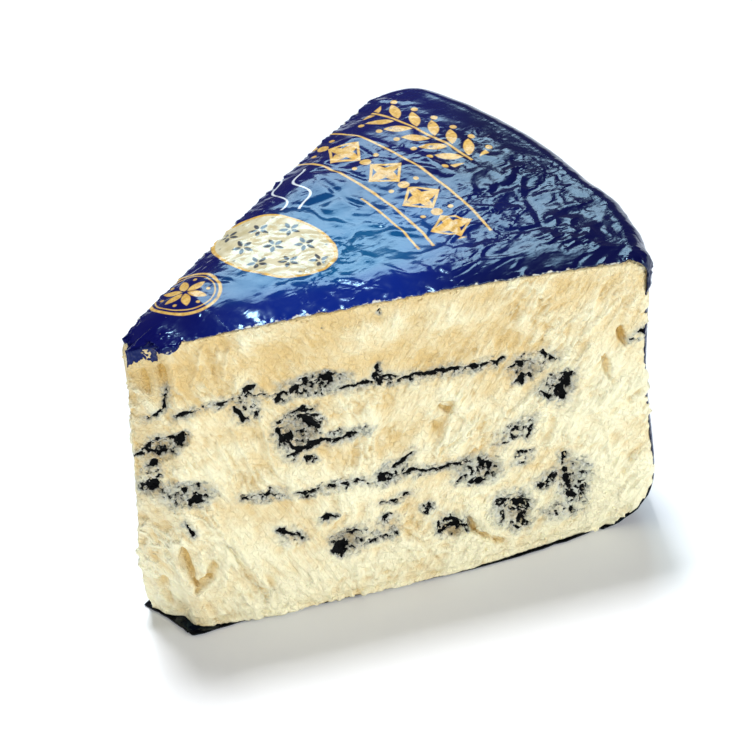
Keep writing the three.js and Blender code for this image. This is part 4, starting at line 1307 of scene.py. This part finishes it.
def film_finish():
    """Glossy film: navy with a brighter blue middle, gold and cream print, white wear at its edges, and
    painted shade low down and in the crumpled corner by the rim.
    """
    finish = Finish("printed_film")
    x, y, z = finish.x - WHEEL_AXIS[0], finish.y - WHEEL_AXIS[1], finish.z
    crumpled, from_edge = finish.field("crumpled"), finish.field("from_edge")
    fine = finish.noise(0.8, 3.0, 0.6)
    broad = finish.noise(14.0, 3.0, 0.5)
    wear = finish.noise(2.2, 4.0, 0.65, offset=13.0)
    upper = z.fade(57.0, 60.5)
    glow = soft_oval(x, y, *GLOW) * upper * from_edge.fade(2.5, 9.0)
    glow = (glow * (0.8 + broad * 0.7)).fade(0.0, 1.0)
    royal = soft_oval(x, y, *ROYAL) * upper
    # darker navy towards the crumpled corner by the rim: partly the film's own colour, partly painted shade in
    # its creases
    gathered = ((x - y * 0.8 - 62) / 22 + broad * 0.4).fade(0.0, 1.0)
    navy = gathered.mix(colour(9, 9, 82), colour(6, 6, 56))
    blue = (royal * (1 - gathered * 0.7)).mix(navy, colour(9, 32, 118))
    blue = glow.mix(blue, colour(6, 80, 128))
    # painted shade: the film goes near black low down, where it lies in shadow at the wedge's foot
    blue = z.fade(14.0, 3.0).mix(blue, colour(4, 4, 14))
    worn = wear.fade(0.55, 0.15) * 0.9 + 0.1
    # cartouche: a cream oval with small blue sprigs
    middle_x, middle_y, turn, half_long, half_wide = CARTOUCHE
    long, wide = turned(x - middle_x, y - middle_y, turn)
    oval = (length(long / half_long, wide / half_wide) - 1) * half_wide
    mottled = finish.noise(2.4, 4.0, 0.6, offset=5.0).fade(-0.5, 0.5)
    cream = mottled.mix(colour(190, 176, 136), colour(222, 212, 182))
    sprigs = blossom(long.repeat(SPRIGS_ALONG), wide.repeat(SPRIGS_ACROSS))
    between_long = (long + SPRIGS_ALONG / 2).repeat(SPRIGS_ALONG)
    between_wide = (wide + SPRIGS_ACROSS / 2).repeat(SPRIGS_ACROSS)
    sprigs = sprigs | blossom(between_long, between_wide)
    sprig_ink = (sprigs + fine * 0.12).printed(0.14) * oval.fade(-0.6, -1.2) * 0.9
    cream = sprig_ink.mix(cream, colour(28, 42, 66))
    gold = fine.fade(-0.6, 0.6).mix(colour(186, 138, 56), colour(232, 194, 112))
    gold_edge = (abs(oval) - 0.28).printed(0.1)
    gold_ink = (gold_print(x, y) + fine * 0.08).printed(0.12) * upper * worn
    # thin white flourishes
    wave_x, wave_y = turned(x - 55.0, y - 15.5, 62)
    wave = abs(wave_y - (wave_x * 0.75).sine() * 1.3) - 0.24
    wave = wave | (abs(wave_y - 4.2 - (wave_x * 0.75 + 1.2).sine() * 1.1) - 0.20)
    white_ink = (wave & abs(wave_x) - 6.2).printed(0.12) * upper * worn
    shaded = (oval.printed(0.15) * upper).mix(blue, cream)
    shaded = gold_ink.mix(shaded, gold)
    shaded = (gold_edge * upper * worn).mix(shaded, gold)
    shaded = (white_ink * 0.9).mix(shaded, colour(225, 230, 236))
    # frayed white bits of paste along the cut edges, and frosty scuffs near the tip
    frayed = (from_edge + wear * 1.3 + fine * 0.6).fade(0.1, -0.25)
    scuffs = (finish.noise(0.9, 3.0, 0.7, offset=23.0) - 0.42).fade(0.0, 0.12)
    scuffs = scuffs * soft_oval(x, y, *SCUFFED) * 0.5
    white = frayed * 0.7 + scuffs
    shaded = white.fade(0.0, 1.0).mix(shaded, colour(228, 224, 208))
    finish.set("Base Color", shaded)
    finish.set("Roughness", gold_ink * 0.12 + white * 0.25 + 0.15 + wear * 0.04)
    finish.set("Specular IOR Level", 0.30)
    finish.set("Specular Tint", (0.42, 0.75, 1.0, 1.0))
    streaked = finish.spot(3.0, -60, (0.45, 1.0, 0.9))
    bent = finish.noise(3.0, 2.0, 0.5, offset=9.0)
    lines = finish.cells(2.7, streaked, "DISTANCE_TO_EDGE").fade(0.16, 0.0) * bent.fade(-0.1, 0.5)
    small = finish.cells(1.3, streaked, "DISTANCE_TO_EDGE").fade(0.22, 0.0) * bent.fade(0.1, -0.5)
    creased = finish.noise(9.0, 2.0, 0.5, offset=17.0).fade(-0.15, 0.3)
    crinkle = (lines * 1.1 - small * 0.6) * (crumpled * 0.7 + 0.2) * (creased * 0.8 + 0.2)
    crinkle = crinkle + finish.noise(2.6, 3.0, 0.5, streaked) * (crumpled * 0.22 + 0.12) + fine * 0.03
    crinkle = crinkle + (x - 22).math("MINIMUM", 0.0) * upper * 0.95
    finish.set("Normal", finish.bump(crinkle, 0.20))
    return finish.material


def floor_finish():
    """A plain pale studio floor."""
    finish = Finish("studio_floor")
    finish.set("Base Color", colour(244, 247, 253))
    finish.set("Roughness", 0.75)
    finish.set("Specular IOR Level", 0.15)
    return finish.material


def make_floor():
    """A wide pale floor under the wedge."""
    mesh = bpy.data.meshes.new("studio_floor")
    half = 4.0
    corners = [(-half, -half, 0), (half, -half, 0), (half, half, 0), (-half, half, 0)]
    mesh.from_pydata(corners, [], [(0, 1, 2, 3)])
    mesh.materials.append(floor_finish())
    return add_object("studio_floor", mesh)


def heading(azimuth, elevation):
    """The unit vector in a direction given by its two angles."""
    level = math.cos(elevation)
    return Vector((math.cos(azimuth) * level, math.sin(azimuth) * level, math.sin(elevation)))


CAMERA_PLACE = (-256.1, -462.9, 498.6)
CAMERA_YAW = math.radians(55.85)
CAMERA_PITCH = math.radians(-39.83)
CAMERA_ROLL = math.radians(-3.81)
CAMERA_LENS = 191.5
SENSOR_WIDTH = 36.0


def make_camera():
    """The camera of the photograph."""
    forward = heading(CAMERA_YAW, CAMERA_PITCH)
    level = Vector((math.sin(CAMERA_YAW), -math.cos(CAMERA_YAW), 0))
    above = level.cross(forward)
    right = math.cos(CAMERA_ROLL) * level + math.sin(CAMERA_ROLL) * above
    up = math.cos(CAMERA_ROLL) * above - math.sin(CAMERA_ROLL) * level
    data = bpy.data.cameras.new("camera")
    data.lens = CAMERA_LENS
    data.sensor_width = SENSOR_WIDTH
    data.clip_start = 0.01
    camera = add_object("camera", data)
    turn = Matrix((right, up, -forward)).transposed().to_4x4()
    spot = Vector((CAMERA_PLACE[0] + WHEEL_AXIS[0], CAMERA_PLACE[1] + WHEEL_AXIS[1], CAMERA_PLACE[2])) * MM
    camera.matrix_world = Matrix.Translation(spot) @ turn
    bpy.context.scene.camera = camera


LIGHT_DISTANCE = 2.4
LIGHT_AIM = Vector((0, 0, 0.03))
WARM_WHITE = (1.0, 0.99, 0.965)


def make_softbox(name, azimuth, elevation, width, height, brightness, tint):
    """A soft rectangular light in a direction given in degrees, facing the wedge."""
    toward = heading(math.radians(azimuth), math.radians(elevation))
    data = bpy.data.lights.new(name, "AREA")
    data.shape = "RECTANGLE"
    data.size = width
    data.size_y = height
    data.energy = brightness * math.pi * width * height
    data.color = tint
    light = add_object(name, data)
    light.location = toward * LIGHT_DISTANCE + LIGHT_AIM
    light.rotation_euler = toward.to_track_quat("Z", "Y").to_euler()


def make_lights():
    """Soft studio light: a box high behind, one that the film mirrors, a fill from the front, one that rakes
    the front cut from the right, and a dim sky."""
    make_softbox("box_high", 74, 74.4, 0.36, 0.36, 98.0, (1, 1, 1))
    make_softbox("box_mirrored", 57, 38.5, 1.00, 0.78, 10.8, (0.72, 0.92, 1.0))
    make_softbox("fill_front", -126, 20, 0.90, 0.80, 12.3, WARM_WHITE)
    make_softbox("rake_right", -42, 16, 0.70, 0.70, 17.5, WARM_WHITE)
    world = bpy.data.worlds.new("studio")
    bpy.context.scene.world = world
    world.use_nodes = True
    sky = world.node_tree.nodes["Background"].inputs
    sky["Color"].default_value = (0.95, 0.97, 1.0, 1.0)
    sky["Strength"].default_value = 0.15


paste = make_paste()
film = make_film()
cheese_finish = paste_finish()
paste.data.materials.append(cheese_finish)
film.data.materials.append(film_finish())
crumbs = make_crumbs(paste, cheese_finish)
floor = make_floor()
make_camera()
make_lights()
bpy.context.scene.view_settings.view_transform = "Standard"

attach(paste, "root")
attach(film, "root")
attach(crumbs, "root")
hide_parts("cheese")
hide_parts("wrapper")
